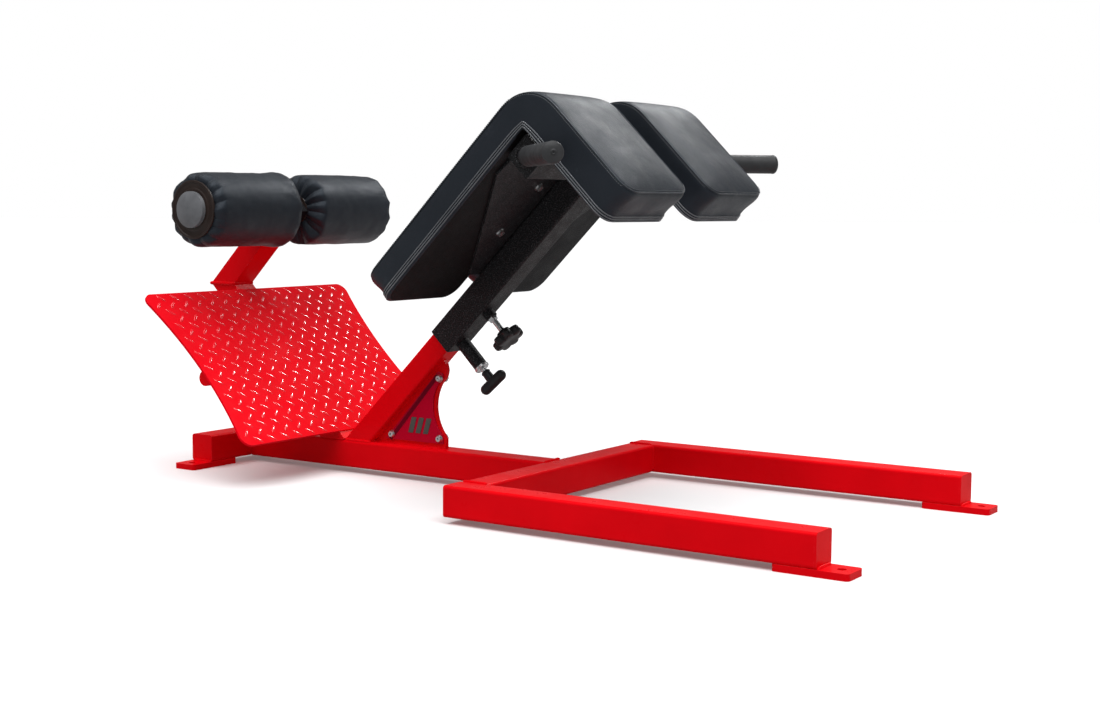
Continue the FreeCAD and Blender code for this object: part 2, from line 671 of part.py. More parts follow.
def build_pads():
    half = size("sleeve_size") / 2
    thick = size("flange_sheet")
    top_u = size("cross_rise") + half
    hole = "sheet.fixing_size + 0.4"

    # delta-shaped flange on the tube's upper face, widest at the cross tube
    right = [(500, 60), (566, 102), (780, 244), (814, 238), (top_u, 232)]
    outline = [(u, -y) for u, y in right] + [(u, y) for u, y in reversed(right)]
    holes = [(u, side * y, hole) for u, y in THIGH_FIXINGS for side in (1, -1)]
    flat_plate("thigh_flange", outline, "sheet.flange_sheet", inclined(0, 0, half), holes)

    # flange on the cross tube's front face, narrowing downwards
    deep = [(half + thick, 232), (-25, 232), (-150, 110)]
    outline = [(y, w) for w, y in deep] + [(-y, w) for w, y in reversed(deep)]
    holes = [(side * y, w, hole) for w, y in HIP_FIXINGS for side in (1, -1)]
    turn = TILT.multiply(Rotation(Vector(0, 1, 0), Vector(0, 0, 1), Vector(1, 0, 0), "XYZ"))
    flat_plate("hip_flange", outline, "sheet.flange_sheet", Placement(world(top_u, 0, 0), turn), holes)

    board = size("board_sheet")
    base_w, base_u = half + thick, top_u + thick
    low, top = size("cushion_low"), size("cushion_top")
    face, tail = size("cushion_face"), size("cushion_tail")
    inset, side_inset = 34, 9
    near, far = size("cushion_in"), size("cushion_out")
    radius = size("fixing_size") / 2
    shank = thick + board - 2
    for side in (1, -1):
        name = mirror_name(side)
        span = far - near
        middle = side * (near + far) / 2
        wide = span - 2 * side_inset
        thigh = Part.makeBox(base_u - low - inset, wide, board, Vector(low + inset, middle - wide / 2, base_w))
        hip = Part.makeBox(board, wide, base_w + board - tail - inset,
                           Vector(base_u, middle - wide / 2, tail + inset))
        for u, y in THIGH_FIXINGS:
            thigh = thigh.cut(Part.makeCylinder(radius, shank - thick, Vector(u, side * y, base_w)))
        for w, y in HIP_FIXINGS:
            hip = hip.cut(Part.makeCylinder(radius, shank - thick, Vector(base_u, side * y, w), Vector(1, 0, 0)))
        group(name + "_pad_boards", [thigh, hip], INCLINE)

        cushion = new_body()
        sketch = new_sketch(cushion, "XZ_Plane")
        draw_outline(sketch, [(low, base_w), (base_u, base_w), (base_u, tail), (top, tail), (top, face),
                              (low, face)])
        pad(cushion, sketch, "sheet.cushion_out - sheet.cushion_in", both_ways=True)
        bend = edges_along(cushion.Tip.Shape, Vector(0, 1, 0), lambda c: c.x > top - 1 and c.z > face - 1)
        round_edges(cushion, bend, "sheet.cushion_bend")
        ends = edges_along(cushion.Tip.Shape, Vector(0, 0, 1), lambda c: c.x < low + 1)
        ends += edges_along(cushion.Tip.Shape, Vector(1, 0, 0), lambda c: c.z < tail + 1)
        round_edges(cushion, ends, "sheet.cushion_corner")
        recess = new_sketch(cushion, "XZ_Plane")
        end_u, end_w = base_u + board, base_w + board
        draw_outline(recess, [(low + inset, base_w), (base_u, base_w), (base_u, tail + inset),
                              (end_u, tail + inset), (end_u, end_w), (low + inset, end_w)])
        pocket(cushion, recess, "sheet.cushion_out - sheet.cushion_in - %d" % (2 * side_inset))
        keep(name + "_pad", cushion, inclined(0, middle, 0))

    bolts, washers = [], []
    for side in (1, -1):
        for u, y in THIGH_FIXINGS:
            bolts.append(bolt_along(Vector(0, 0, 1), Vector(u, side * y, half), shank))
            washers.append(washer_along(Vector(0, 0, 1), Vector(u, side * y, half)))
        for w, y in HIP_FIXINGS:
            bolts.append(bolt_along(Vector(1, 0, 0), Vector(top_u, side * y, w), shank))
            washers.append(washer_along(Vector(1, 0, 0), Vector(top_u, side * y, w)))
    group("pad_bolts", bolts, INCLINE)
    group("pad_bolt_washers", washers, INCLINE)


# ----------------------------------------------------------------------------- index pin, lock screw
def below(u, w):
    """Placement on the sleeve's underside axis with +Z pointing away from the sleeve."""
    return aimed(world(u, 0, w), TILT.multVec(Vector(0, 0, -1)))


def build_index_pin():
    half = size("sleeve_size") / 2
    rise = size("pin_rise")
    outer = size("barrel_size") / 2
    bore = size("barrel_bore") / 2
    room = size("barrel_room") / 2
    depth = -size("barrel_end") - half
    floor = 20
    turned("pin_barrel", [(bore, 0), (outer, 0), (outer, depth), (room, depth), (room, floor), (bore, floor)],
           below(rise, -half))
    ring = 5
    turned("pin_barrel_ring", [(bore, depth), (outer + 1, depth), (outer + 1, depth + ring - 1),
                               (outer, depth + ring), (bore, depth + ring)], below(rise, -half))
    # the pin is shown drawn back: its tip stands just clear of the upright
    pin = size("pin_size") / 2
    tip = size("pin_tip")
    tee = size("tee_offset")
    tee_radius = size("tee_size") / 2
    length = tip - tee - tee_radius + 1
    collar_low = 46
    collar_high = collar_low + 5
    turned("pull_pin", [(0, 0), (pin - 1.5, 0), (pin, 1.5), (pin, collar_low), (room - 1, collar_low),
                        (room - 1, collar_high), (pin, collar_high), (pin, length), (0, length)],
           below(rise, tip))
    # compression spring between the collar and the barrel's end ring
    wire, coil = 0.9, 8.4
    free_from = collar_high + 1.4
    turns, pitch = 5, 3.4
    helix = Part.makeHelix(pitch, pitch * turns, coil)
    section = Part.Wire([Part.makeCircle(wire, Vector(coil, 0, 0), Vector(0, 1, 0))])
    spring = doc.addObject("Part::Feature", "Spring")
    spring.Shape = Part.Wire(helix).makePipeShell([section], True, True)
    keep("pin_spring", spring, below(rise, tip - free_from - 0.2))
    # pill-shaped cross handle, turned a little away from the slope
    reach = size("tee_length") / 2
    turn = radians(9.4)
    across = TILT.multVec(Vector(cos(turn), sin(turn), 0))
    pill = Part.makeCylinder(tee_radius, 2 * (reach - tee_radius * 0.6), Vector(0, 0, -(reach - tee_radius * 0.6)))
    rims = [e for e in pill.Edges if e.Curve.TypeId == "Part::GeomCircle"]
    pill = pill.makeFillet(tee_radius * 0.55, rims)
    pill.Placement = aimed(world(rise, 0, tee), across)
    handle = doc.addObject("Part::Feature", "Tee")
    up = TILT.multVec(Vector(0, 0, 1))
    stem_top = size("barrel_end") - ring - size("pin_travel") - 0.5
    stem = Part.makeCylinder(size("stem_size") / 2, stem_top - tee, world(rise, 0, tee), up)
    socket = Part.makeCylinder(pin, 60, world(rise, 0, tip - length), up)
    handle.Shape = pill.fuse(stem).cut(socket).removeSplitter()
    keep("pin_t_handle", handle)


def build_lock_screw():
    half = size("sleeve_size") / 2
    rise = size("lock_rise")
    bore = size("lock_bore") / 2
    screw = size("lock_size") / 2 - 0.05
    boss, boss_depth = size("boss_size") / 2, size("boss_depth")
    turned("lock_boss", [(bore, 0), (boss, 0), (boss, boss_depth - 3), (boss - 3, boss_depth), (bore, boss_depth)],
           below(rise, -half))
    gap, disc = 25.4, 3
    turned("lock_pressure_pad", [(0, 0), (screw, 0), (screw, disc), (0, disc)], below(rise, -gap))
    face = -size("knob_face")
    depth = size("knob_depth")
    start = gap + disc + 0.05
    embed = depth * 0.6
    turned("lock_screw", [(0, 0), (screw, 0), (screw, face - start + embed), (0, face - start + embed)],
           below(rise, -start))
    # seven-lobed star knob
    lobes = 7
    outer = size("knob_size") / 2
    hub = 15
    lobe = 9
    disc_depth = 18
    star = Part.makeCylinder(outer - lobe - 1.5, disc_depth, Vector(0, 0, depth - disc_depth))
    for index in range(lobes):
        angle = 2 * pi * index / lobes
        centre = Vector((outer - lobe) * cos(angle), (outer - lobe) * sin(angle), depth - disc_depth)
        star = star.fuse(Part.makeCylinder(lobe, disc_depth, centre))
    star = star.fuse(Part.makeCylinder(hub, depth)).removeSplitter()
    star = star.cut(Part.makeCylinder(screw, embed))
    knob = doc.addObject("Part::Feature", "Knob")
    knob.Shape = star
    keep("star_knob", knob, below(rise, -face))


# ----------------------------------------------------------------------------- checks and export
def check_and_export():
    doc.recompute()
    for item in doc.Objects:
        if "Invalid" in item.State or "Error" in item.State:
            raise RuntimeError("%s (%s) failed: %s" % (item.Name, item.Label, item.State))
    labels = [item.Label for item in PARTS]
    if len(set(labels)) != len(labels):
        raise RuntimeError("two sub-parts share a label")
    for item in PARTS:
        shape = item.Shape
        if shape.isNull() or not shape.isValid() or not shape.Solids or shape.Volume <= 0:
            raise RuntimeError("sub-part %s has no valid solid" % item.Label)
    os.makedirs("parts", exist_ok=True)
    for name in os.listdir("parts"):
        os.remove(os.path.join("parts", name))
    for item in PARTS:
        item.Shape.exportStep("parts/%s.step" % item.Label)
    box = FreeCAD.BoundBox()
    for item in PARTS:
        box.add(item.Shape.BoundBox)
    print("%d sub-parts" % len(PARTS))
    print("solids: %s" % {item.Label: len(item.Shape.Solids) for item in PARTS if len(item.Shape.Solids) > 1})
    print("box %.1f..%.1f  %.1f..%.1f  %.1f..%.1f" % (box.XMin, box.XMax, box.YMin, box.YMax, box.ZMin, box.ZMax))


build_base()
build_upright()
build_gusset()
build_platform()
build_rollers()
build_carriage()
build_pads()
build_index_pin()
build_lock_screw()
check_and_export()
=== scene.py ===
"""Roman chair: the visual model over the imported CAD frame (metres, the CAD's own frame)."""
import json
import random
from math import cos, exp, pi, radians, sin, sqrt

import bmesh
import bpy
from mathutils import Matrix, Vector, noise
from mathutils.kdtree import KDTree


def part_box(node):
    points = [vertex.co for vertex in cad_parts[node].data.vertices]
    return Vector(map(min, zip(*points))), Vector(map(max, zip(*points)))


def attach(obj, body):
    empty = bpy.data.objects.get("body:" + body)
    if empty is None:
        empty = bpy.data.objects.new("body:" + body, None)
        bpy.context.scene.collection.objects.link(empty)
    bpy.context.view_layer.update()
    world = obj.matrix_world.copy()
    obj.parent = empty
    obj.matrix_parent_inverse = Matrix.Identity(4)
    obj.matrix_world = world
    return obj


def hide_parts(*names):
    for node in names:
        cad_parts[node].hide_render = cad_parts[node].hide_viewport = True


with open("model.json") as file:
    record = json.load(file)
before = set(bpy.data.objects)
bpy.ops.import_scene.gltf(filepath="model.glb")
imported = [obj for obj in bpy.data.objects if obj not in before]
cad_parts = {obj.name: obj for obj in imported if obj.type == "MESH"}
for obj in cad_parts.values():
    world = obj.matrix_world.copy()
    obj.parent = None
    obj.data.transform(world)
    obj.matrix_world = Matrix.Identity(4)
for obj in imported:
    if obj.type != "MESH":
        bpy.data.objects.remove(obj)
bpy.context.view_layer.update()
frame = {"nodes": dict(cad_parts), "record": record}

NODES = frame["nodes"]
SCENE = bpy.context.scene

# ------------------------------------------------------------------ incline frame, as in the CAD
INCLINE_BACK = 0.4327          # where the upright's axis meets the spine's top face
SPINE_TOP = 0.072
BROAD_HALF, SLIM_HALF = 0.030, 0.025               # half sections of the 60 and 50 mm tubes
ROOT_HALF = sqrt(0.5)
UP_SLOPE = Vector((ROOT_HALF, 0, ROOT_HALF))       # u runs up the upright
OFF_SLOPE = Vector((-ROOT_HALF, 0, ROOT_HALF))     # w stands square to it
ACROSS = Vector((0, 1, 0))
AHEAD = Vector((1, 0, 0))
UP = Vector((0, 0, 1))


def incline(u, y, w):
    """World position of a point given in the incline frame, in metres."""
    return Vector((-INCLINE_BACK, y, SPINE_TOP)) + UP_SLOPE * u + OFF_SLOPE * w


# ------------------------------------------------------------------ mesh helpers
def make_piece(name, shape, material, body, smooth=True):
    """A mesh piece, made from (verts, faces), that rides on a CAD body."""
    verts, faces = shape
    mesh = bpy.data.meshes.new(name)
    mesh.from_pydata([tuple(v) for v in verts], [], faces)
    mesh.validate()
    work = bmesh.new()
    work.from_mesh(mesh)
    bmesh.ops.recalc_face_normals(work, faces=work.faces)
    work.to_mesh(mesh)
    work.free()
    mesh.materials.append(material)
    if smooth:
        mesh.shade_smooth()
    piece = bpy.data.objects.new(name, mesh)
    SCENE.collection.objects.link(piece)
    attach(piece, body)
    return piece


def soften(piece, width):
    """A narrow bevel along the piece's edges."""
    bevel = piece.modifiers.new("soft_edges", "BEVEL")
    bevel.width, bevel.segments = width, 2


def loft(rings, closed=False, caps=True):
    """Faces over rings of equal length; closed joins the last ring to the first."""
    count = len(rings[0])
    verts = [p for ring in rings for p in ring]
    faces = []
    last = len(rings) if closed else len(rings) - 1
    for i in range(last):
        a, b = i * count, ((i + 1) % len(rings)) * count
        for j in range(count):
            k = (j + 1) % count
            faces.append((a + j, a + k, b + k, b + j))
    if caps and not closed:
        faces.append(tuple(range(count)))
        faces.append(tuple(range((len(rings) - 1) * count, len(rings) * count)))
    return verts, faces


def tube(points, radius, sides=8, closed=False, radius_at=None):
    """Round bar whose rings are carried along a path without twist; radius_at(i) overrides the radius."""
    count = len(points)
    rings = []
    normal = None
    for i, point in enumerate(points):
        if closed:
            ahead = points[(i + 1) % count] - points[i - 1]
        else:
            ahead = points[min(i + 1, count - 1)] - points[max(i - 1, 0)]
        ahead = ahead.normalized()
        if normal is None:
            helper = UP if abs(ahead.z) < 0.9 else AHEAD
            normal = ahead.cross(helper).normalized()
        normal = (normal - ahead * normal.dot(ahead)).normalized()
        side = ahead.cross(normal)
        r = radius_at(i) if radius_at else radius
        rings.append([point + (normal * cos(2 * pi * j / sides) + side * sin(2 * pi * j / sides)) * r
                      for j in range(sides)])
    return loft(bridge_twist(rings) if closed else rings, closed=closed)


def bridge_twist(rings):
    """Turns the last ring's start so that a closed tube joins up without a twist."""
    first, last = rings[0], rings[-1]
    sides = len(first)
    best = min(range(sides), key=lambda s: (last[s] - first[0]).length)
    turned = []
    for i, ring in enumerate(rings):
        shift = round(best * i / (len(rings) - 1))
        turned.append([ring[(j + shift) % sides] for j in range(sides)])
    return turned


def merge(parts):
    """Joins several (verts, faces) into one."""
    verts, faces = [], []
    for part_verts, part_faces in parts:
        base = len(verts)
        verts.extend(part_verts)
        faces.extend(tuple(base + i for i in face) for face in part_faces)
    return verts, faces


def lathe(profile, origin, axis, segments=96, shape=None):
    """Closed profile of (radius, height) turned about an axis; shape(i, angle) changes (radius, height)."""
    axis = Vector(axis).normalized()
    helper = UP if abs(axis.z) < 0.9 else AHEAD
    first = axis.cross(helper).normalized()
    second = axis.cross(first)
    rings = []
    for j in range(segments):
        angle = 2 * pi * j / segments
        out = first * cos(angle) + second * sin(angle)
        ring = []
        for i, (radius, height) in enumerate(profile):
            if shape:
                radius, height = shape(i, angle, radius, height)
            ring.append(Vector(origin) + out * radius + axis * height)
        rings.append(ring)
    return loft(rings, closed=True)


def rounded(profile, radius, steps=4):
    """Rounds each corner of a closed (x, y) outline with an arc-like curve."""
    result = []
    count = len(profile)
    for i in range(count):
        before, here, after = (Vector(profile[(i + k) % count]) for k in (-1, 0, 1))
        into, out = before - here, after - here
        reach = min(radius, into.length * 0.45, out.length * 0.45)
        start, end = here + into.normalized() * reach, here + out.normalized() * reach
        for k in range(steps + 1):
            t = k / steps
            result.append(tuple(start * (1 - t) ** 2 + here * 2 * t * (1 - t) + end * t ** 2))
    return result


# ------------------------------------------------------------------ materials
class Nodes:
    """Short-hand for one material's node tree."""

    def __init__(self, name):
        self.material = bpy.data.materials.new(name)
        self.material.use_nodes = True
        self.tree = self.material.node_tree
        self.shader = self.tree.nodes["Principled BSDF"]
        self.place = self.add("ShaderNodeTexCoord").outputs["Object"]

    def add(self, kind, **values):
        node = self.tree.nodes.new(kind)
        for key, value in values.items():
            setattr(node, key, value)
        return node

    def link(self, source, target):
        self.tree.links.new(source, target)

    def noise(self, scale, detail=3.0, roughness=0.55, stretch=None):
        node = self.add("ShaderNodeTexNoise")
        node.inputs["Scale"].default_value = scale
        node.inputs["Detail"].default_value = detail
        node.inputs["Roughness"].default_value = roughness
        self.link(self.scaled(stretch) if stretch else self.place, node.inputs["Vector"])
        return node.outputs["Fac"]

    def scaled(self, stretch):
        node = self.add("ShaderNodeMapping")
        node.inputs["Scale"].default_value = stretch
        self.link(self.place, node.inputs["Vector"])
        return node.outputs["Vector"]

    def voronoi(self, scale, feature="F1"):
        node = self.add("ShaderNodeTexVoronoi", feature=feature)
        node.inputs["Scale"].default_value = scale
        self.link(self.place, node.inputs["Vector"])
        return node.outputs["Distance"]

    def spread(self, value, low, high, to_low=0.0, to_high=1.0):
        node = self.add("ShaderNodeMapRange")
        self.link(value, node.inputs["Value"])
        for socket, number in zip(("From Min", "From Max", "To Min", "To Max"), (low, high, to_low, to_high)):
            node.inputs[socket].default_value = number
        return node.outputs["Result"]

    def times(self, a, b):
        node = self.add("ShaderNodeMath", operation="MULTIPLY")
        self.link(a, node.inputs[0])
        self.link(b, node.inputs[1])
        return node.outputs[0]

    def colour(self, source):
        self.link(source, self.shader.inputs["Base Color"])

    def roughness(self, source, low, high, smooth, rough):
        self.link(self.spread(source, low, high, smooth, rough), self.shader.inputs["Roughness"])

    def rubbed(self, radius, patches, low, high, most):
        """How far the edges are worn, in patches."""
        return self.times(self.edges(radius), self.spread(patches, low, high, 0.0, most))

    def blend_colours(self, factor, first, second):
        node = self.add("ShaderNodeMix", data_type="RGBA")
        self.link(factor, node.inputs["Factor"])
        for socket, value in ((node.inputs[6], first), (node.inputs[7], second)):
            if isinstance(value, tuple):
                socket.default_value = (*value, 1)
            else:
                self.link(value, socket)
        return node.outputs[2]

    def drift(self, patches, low, high, first, second):
        """One colour going over into another, in patches."""
        return self.blend_colours(self.spread(patches, low, high), first, second)

    def edges(self, radius):
        """1 along convex and concave edges, 0 on flat faces."""
        bevel = self.add("ShaderNodeBevel", samples=4)
        bevel.inputs["Radius"].default_value = radius
        surface = self.add("ShaderNodeNewGeometry")
        node = self.add("ShaderNodeVectorMath", operation="DOT_PRODUCT")
        self.link(bevel.outputs["Normal"], node.inputs[0])
        self.link(surface.outputs["Normal"], node.inputs[1])
        return self.spread(node.outputs["Value"], 0.995, 0.86)

    def bump(self, *heights):
        """Chains bumps of (height, distance in metres)."""
        normal = None
        for height, distance in heights:
            node = self.add("ShaderNodeBump")
            node.inputs["Distance"].default_value = distance
            node.inputs["Strength"].default_value = 1.0
            self.link(height, node.inputs["Height"])
            if normal is not None:
                self.link(normal, node.inputs["Normal"])
            normal = node.outputs["Normal"]
        self.link(normal, self.shader.inputs["Normal"])

    def set(self, **values):
        for key, value in values.items():
            self.shader.inputs[key.replace("_", " ")].default_value = value


def painted(name, colour, deep, worn, rough=0.3, coat=0.0, shine=0.03):
    """Gloss powder coat: orange peel, slight tone drift and rubbed edges."""
    n = Nodes(name)
    base = n.drift(n.noise(5.0, 4.0), 0.35, 0.7, colour, deep)
    n.colour(n.blend_colours(n.rubbed(0.0014, n.noise(60.0, 5.0, 0.7), 0.42, 0.66, 0.8), base, worn))
    n.roughness(n.noise(18.0, 6.0, 0.65), 0.3, 0.75, rough - 0.06, rough + 0.12)
    n.bump((n.noise(420.0, 2.0, 0.5), 0.00003))
    n.set(Coat_Weight=coat, Coat_Roughness=0.10, Specular_IOR_Level=shine)
    return n.material


def wrinkle_coat(name, colour, glint):
    """Black wrinkle powder coat whose fine grains carry painted glints: lighter specks mixed into the colour.
    """
    n = Nodes(name)
    # painted glint: lighter specks in the colour stand in for the coat's sparkle
    base = n.drift(n.noise(430.0, 3.0, 0.7), 0.52, 0.70, colour, glint)
    wear = n.rubbed(0.0012, n.noise(70.0, 4.0), 0.45, 0.65, 0.6)
    n.colour(n.blend_colours(wear, base, (0.10, 0.10, 0.105)))
    n.roughness(n.noise(40.0, 4.0), 0.3, 0.7, 0.42, 0.58)
    n.bump((n.voronoi(620.0), 0.00035), (n.noise(260.0, 4.0, 0.6), 0.00025))
    n.set(Specular_IOR_Level=0.16)
    return n.material


def upholstery(name, colour, pale, rough=0.42, crease=0.0009, shine=0.27, sheen=0.02):
    """Coated vinyl with a fine leather grain, soft creases and rubbed high spots."""
    n = Nodes(name)
    scuffs = n.spread(n.noise(26.0, 8.0, 0.75, stretch=(1.0, 0.25, 1.0)), 0.60, 0.74, 0.0, 0.5)
    base = n.drift(n.noise(9.0, 5.0, 0.6), 0.3, 0.75, colour, pale)
    n.colour(n.blend_colours(scuffs, base, tuple(c * 1.9 + 0.004 for c in pale)))
    n.roughness(n.noise(14.0, 6.0, 0.65), 0.3, 0.72, rough - 0.07, rough + 0.13)
    cells = n.spread(n.voronoi(680.0, feature="DISTANCE_TO_EDGE"), 0.0, 0.18)
    n.bump((n.noise(16.0, 3.0, 0.5), crease), (n.noise(90.0, 3.0), crease * 0.16), (cells, 0.00010))
    n.set(Sheen_Weight=sheen, Sheen_Roughness=0.45, Specular_IOR_Level=shine)
    n.set(Specular_Tint=(0.74, 0.86, 1.0, 1.0))
    return n.material


def moulded(name, colour, rough=0.45, grain_scale=700.0, grain=0.00006, edge=(0.05, 0.05, 0.05), shine=0.20):
    """Moulded plastic or rubber with fine tooling grain and scuffed edges."""
    n = Nodes(name)
    lighter = tuple(min(1.0, c * 1.35 + 0.003) for c in colour)
    base = n.drift(n.noise(30.0, 4.0), 0.35, 0.7, colour, lighter)
    n.colour(n.blend_colours(n.rubbed(0.0009, n.noise(120.0, 4.0), 0.45, 0.65, 0.6), base, edge))
    n.roughness(n.noise(55.0, 5.0), 0.3, 0.7, rough - 0.06, rough + 0.1)
    n.bump((n.noise(grain_scale, 2.0), grain))
    n.set(Specular_IOR_Level=shine)
    return n.material


def plated(name, colour, rough=0.26):
    """Bright plating: streaked polish and dull spots."""
    n = Nodes(name)
    streak = (1.0, 1.0, 14.0)
    n.colour(n.drift(n.noise(120.0, 3.0), 0.35, 0.7, colour, tuple(c * 0.72 for c in colour)))
    n.roughness(n.noise(300.0, 4.0, 0.6, stretch=streak), 0.3, 0.7, rough - 0.08, rough + 0.14)
    n.bump((n.noise(900.0, 2.0, 0.5, stretch=streak), 0.00003))
    n.set(Metallic=0.95)
    return n.material


def thread_material(name, colour):
    """Twisted sewing thread."""
    n = Nodes(name)
    twist = n.noise(1500.0, 2.0)
    n.colour(n.drift(twist, 0.35, 0.65, colour, tuple(c * 0.5 for c in colour)))
    n.roughness(n.noise(700.0), 0.3, 0.7, 0.45, 0.7)
    n.bump((twist, 0.0001))
    return n.material


def layered_wood(name):
    """Plywood seen on its layers."""
    n = Nodes(name)
    grain = n.noise(60.0, 5.0, 0.6, stretch=(0.2, 0.2, 6.0))
    n.colour(n.blend_colours(grain, (0.42, 0.29, 0.17), (0.24, 0.15, 0.08)))
    n.roughness(grain, 0.3, 0.7, 0.6, 0.8)
    n.bump((grain, 0.0002))
    return n.material


RED = painted("red_powder_coat", (0.80, 0.0013, 0.0058), (0.68, 0.0010, 0.0046), (0.88, 0.02, 0.03))
TREAD = painted("red_tread_coat", (0.80, 0.0010, 0.0090), (0.68, 0.0008, 0.0060), (0.9, 0.02, 0.04),
                rough=0.50, shine=0.015)
LUG = painted("red_tread_lug", (0.86, 0.0030, 0.0160), (0.74, 0.0020, 0.0100), (0.95, 0.20, 0.24),
              rough=0.14, coat=0.8, shine=0.5)
BADGE = painted("badge_enamel", (0.50, 0.0010, 0.0220), (0.42, 0.0010, 0.0190), (0.6, 0.05, 0.08), rough=0.3)
# painted shade: dark enamel for the strip along the badge's slope, where the upright's shade falls
BADGE_PAINTED_SHADE = painted("badge_painted_shade", (0.16, 0.0010, 0.0120), (0.12, 0.0010, 0.0100), (0.3, 0.03, 0.05))
INLAY = moulded("badge_inlay", (0.060, 0.066, 0.058), rough=0.35)
# the second colour is the painted glint of the coat's grains
BLACK = wrinkle_coat("black_wrinkle_coat", (0.0050, 0.0050, 0.0058), (0.085, 0.085, 0.092))
VINYL = upholstery("black_vinyl", (0.0100, 0.0122, 0.0165), (0.0140, 0.0170, 0.0225))
BACK_VINYL = upholstery("brown_back_vinyl", (0.0042, 0.0034, 0.0032), (0.0062, 0.0050, 0.0046), rough=0.55,
                        crease=0.0005, shine=0.12, sheen=0.0)
# the piping's vinyl is lighter than the pad's: a painted highlight along the seams
PIPING_PAINTED_HIGHLIGHT = upholstery("vinyl_piping_painted_highlight", (0.022, 0.025, 0.030), (0.036, 0.040, 0.046), rough=0.34, crease=0.0001)
# the welts' vinyl is much lighter than the pad's: a painted highlight along each welt
WELT_PAINTED_HIGHLIGHT = upholstery("vinyl_welt_painted_highlight", (0.095, 0.100, 0.108), (0.150, 0.155, 0.165), rough=0.34, crease=0.0001)
THREAD = thread_material("grey_thread", (0.16, 0.17, 0.18))
GRIP = moulded("grip_rubber", (0.030, 0.031, 0.033), rough=0.46, grain=0.00004)
PLASTIC = moulded("black_plastic", (0.013, 0.013, 0.014), rough=0.36)
DISC = moulded("brown_disc_plastic", (0.018, 0.0105, 0.0085), rough=0.38, edge=(0.08, 0.055, 0.045))
CAP = moulded("grey_cap_plastic", (0.105, 0.108, 0.116), rough=0.48, grain_scale=1100.0, grain=0.00012,
              edge=(0.2, 0.2, 0.21))
ZINC = plated("zinc_plate", (0.62, 0.63, 0.64))
STEEL = plated("spring_steel", (0.42, 0.42, 0.43), rough=0.32)
BRASS = plated("turned_brass", (0.62, 0.42, 0.16), rough=0.3)
WOOD = layered_wood("plywood")
FOAM = moulded("roller_foam", (0.05, 0.05, 0.05), rough=0.8)
# a black, rough sheet that darkens the post's end between the rollers
POST_END_BLACK = moulded("black_post_end", (0.008, 0.008, 0.009), rough=0.85, edge=(0.012, 0.012, 0.013),
                 shine=0.02)

SLOT_MATERIALS = {
    "red_powder_coat": RED, "red_tread_plate": TREAD, "badge_enamel": BADGE, "black_texture_coat": BLACK,
    "zinc": ZINC, "spring_steel": STEEL, "grip_rubber": GRIP, "black_vinyl": VINYL, "plywood": WOOD,
    "roller_foam": FOAM, "black_plastic": PLASTIC, "brown_disc_plastic": DISC, "grey_plastic": CAP,
    "brass_pad": BRASS,
}


def dress_cad_nodes():
    """Every carried-over CAD node gets the worked material of its slot."""
    for entry in frame["record"]["subparts"]:
        node = NODES[entry["node"]]
        material = SLOT_MATERIALS[entry["material_slot"]]
        if not node.material_slots:
            node.data.materials.append(material)
        for holder in node.material_slots:
            holder.material = material


# ------------------------------------------------------------------ pads
CUSHION_IN, CUSHION_OUT = 0.043, 0.272
PAD_CORNER = 0.032
RING_SPACING = 0.0070
BASE = 0.0353                   # the pads' backs stand just off the flanges
BACK_U = 0.8920                 # the hip part's back
THIGH_LOW, HIP_TAIL = 0.4230, -0.207
THIGH_DEPTH = 0.0975 - BASE     # from the back to the flat face, before crowning
HIP_DEPTH = 0.9707 - BACK_U
BEND_RADIUS = 0.080             # of the face over the inner corner
BEND_REACH = 0.095              # how far the bend is felt along the back, each way
THIGH_RUN = BACK_U - THIGH_LOW
HIP_RUN = BASE - HIP_TAIL


def bend_share(s):
    """0 on the thigh part, 1 on the hip part, rising smoothly over the bend."""
    t = min(1.0, max(0.0, (s - THIGH_RUN + BEND_REACH) / (2 * BEND_REACH)))
    return t * t * (3 - 2 * t)


def bend_crown(s):
    """1 at the middle of the bend, 0 away from it: the face is stretched tight over the bend."""
    return exp(-((s - THIGH_RUN) / 0.06) ** 2)


def pad_depth(s):
    """From the back to the flat face at a place along the L."""
    return THIGH_DEPTH + (HIP_DEPTH - THIGH_DEPTH) * bend_share(s)


def bend_face(t):
    """Point of the flat face over the bend, t from 0 to 1."""
    over = HIP_DEPTH - BEND_RADIUS + BEND_REACH
    down = THIGH_DEPTH - BEND_RADIUS + BEND_REACH
    arc = BEND_RADIUS * pi / 2
    run = t * (over + arc + down)
    if run < over:
        return BACK_U - BEND_REACH + run, BASE + THIGH_DEPTH
    if run > over + arc:
        return BACK_U + HIP_DEPTH, BASE + THIGH_DEPTH - BEND_RADIUS - (run - over - arc)
    angle = (run - over) / BEND_RADIUS
    return (BACK_U + HIP_DEPTH - BEND_RADIUS + BEND_RADIUS * sin(angle),
            BASE + THIGH_DEPTH - BEND_RADIUS + BEND_RADIUS * cos(angle))


def pad_point(s, lateral, height):
    """Place (u, y, w) on the pad: s along the L (0 at the thigh end), height out from its back."""
    if s <= THIGH_RUN - BEND_REACH:
        return THIGH_LOW + s, lateral, BASE + height
    if s >= THIGH_RUN + BEND_REACH:
        return BACK_U + height, lateral, BASE - (s - THIGH_RUN)
    # round the bend the back keeps its sharp corner while the face follows an arc
    past = s - THIGH_RUN
    face_u, face_w = bend_face((past + BEND_REACH) / (2 * BEND_REACH))
    back_u, back_w = BACK_U + min(past, 0.0), BASE - max(past, 0.0)
    k = height / pad_depth(s)
    return back_u + (face_u - back_u) * k, lateral, back_w + (face_w - back_w) * k


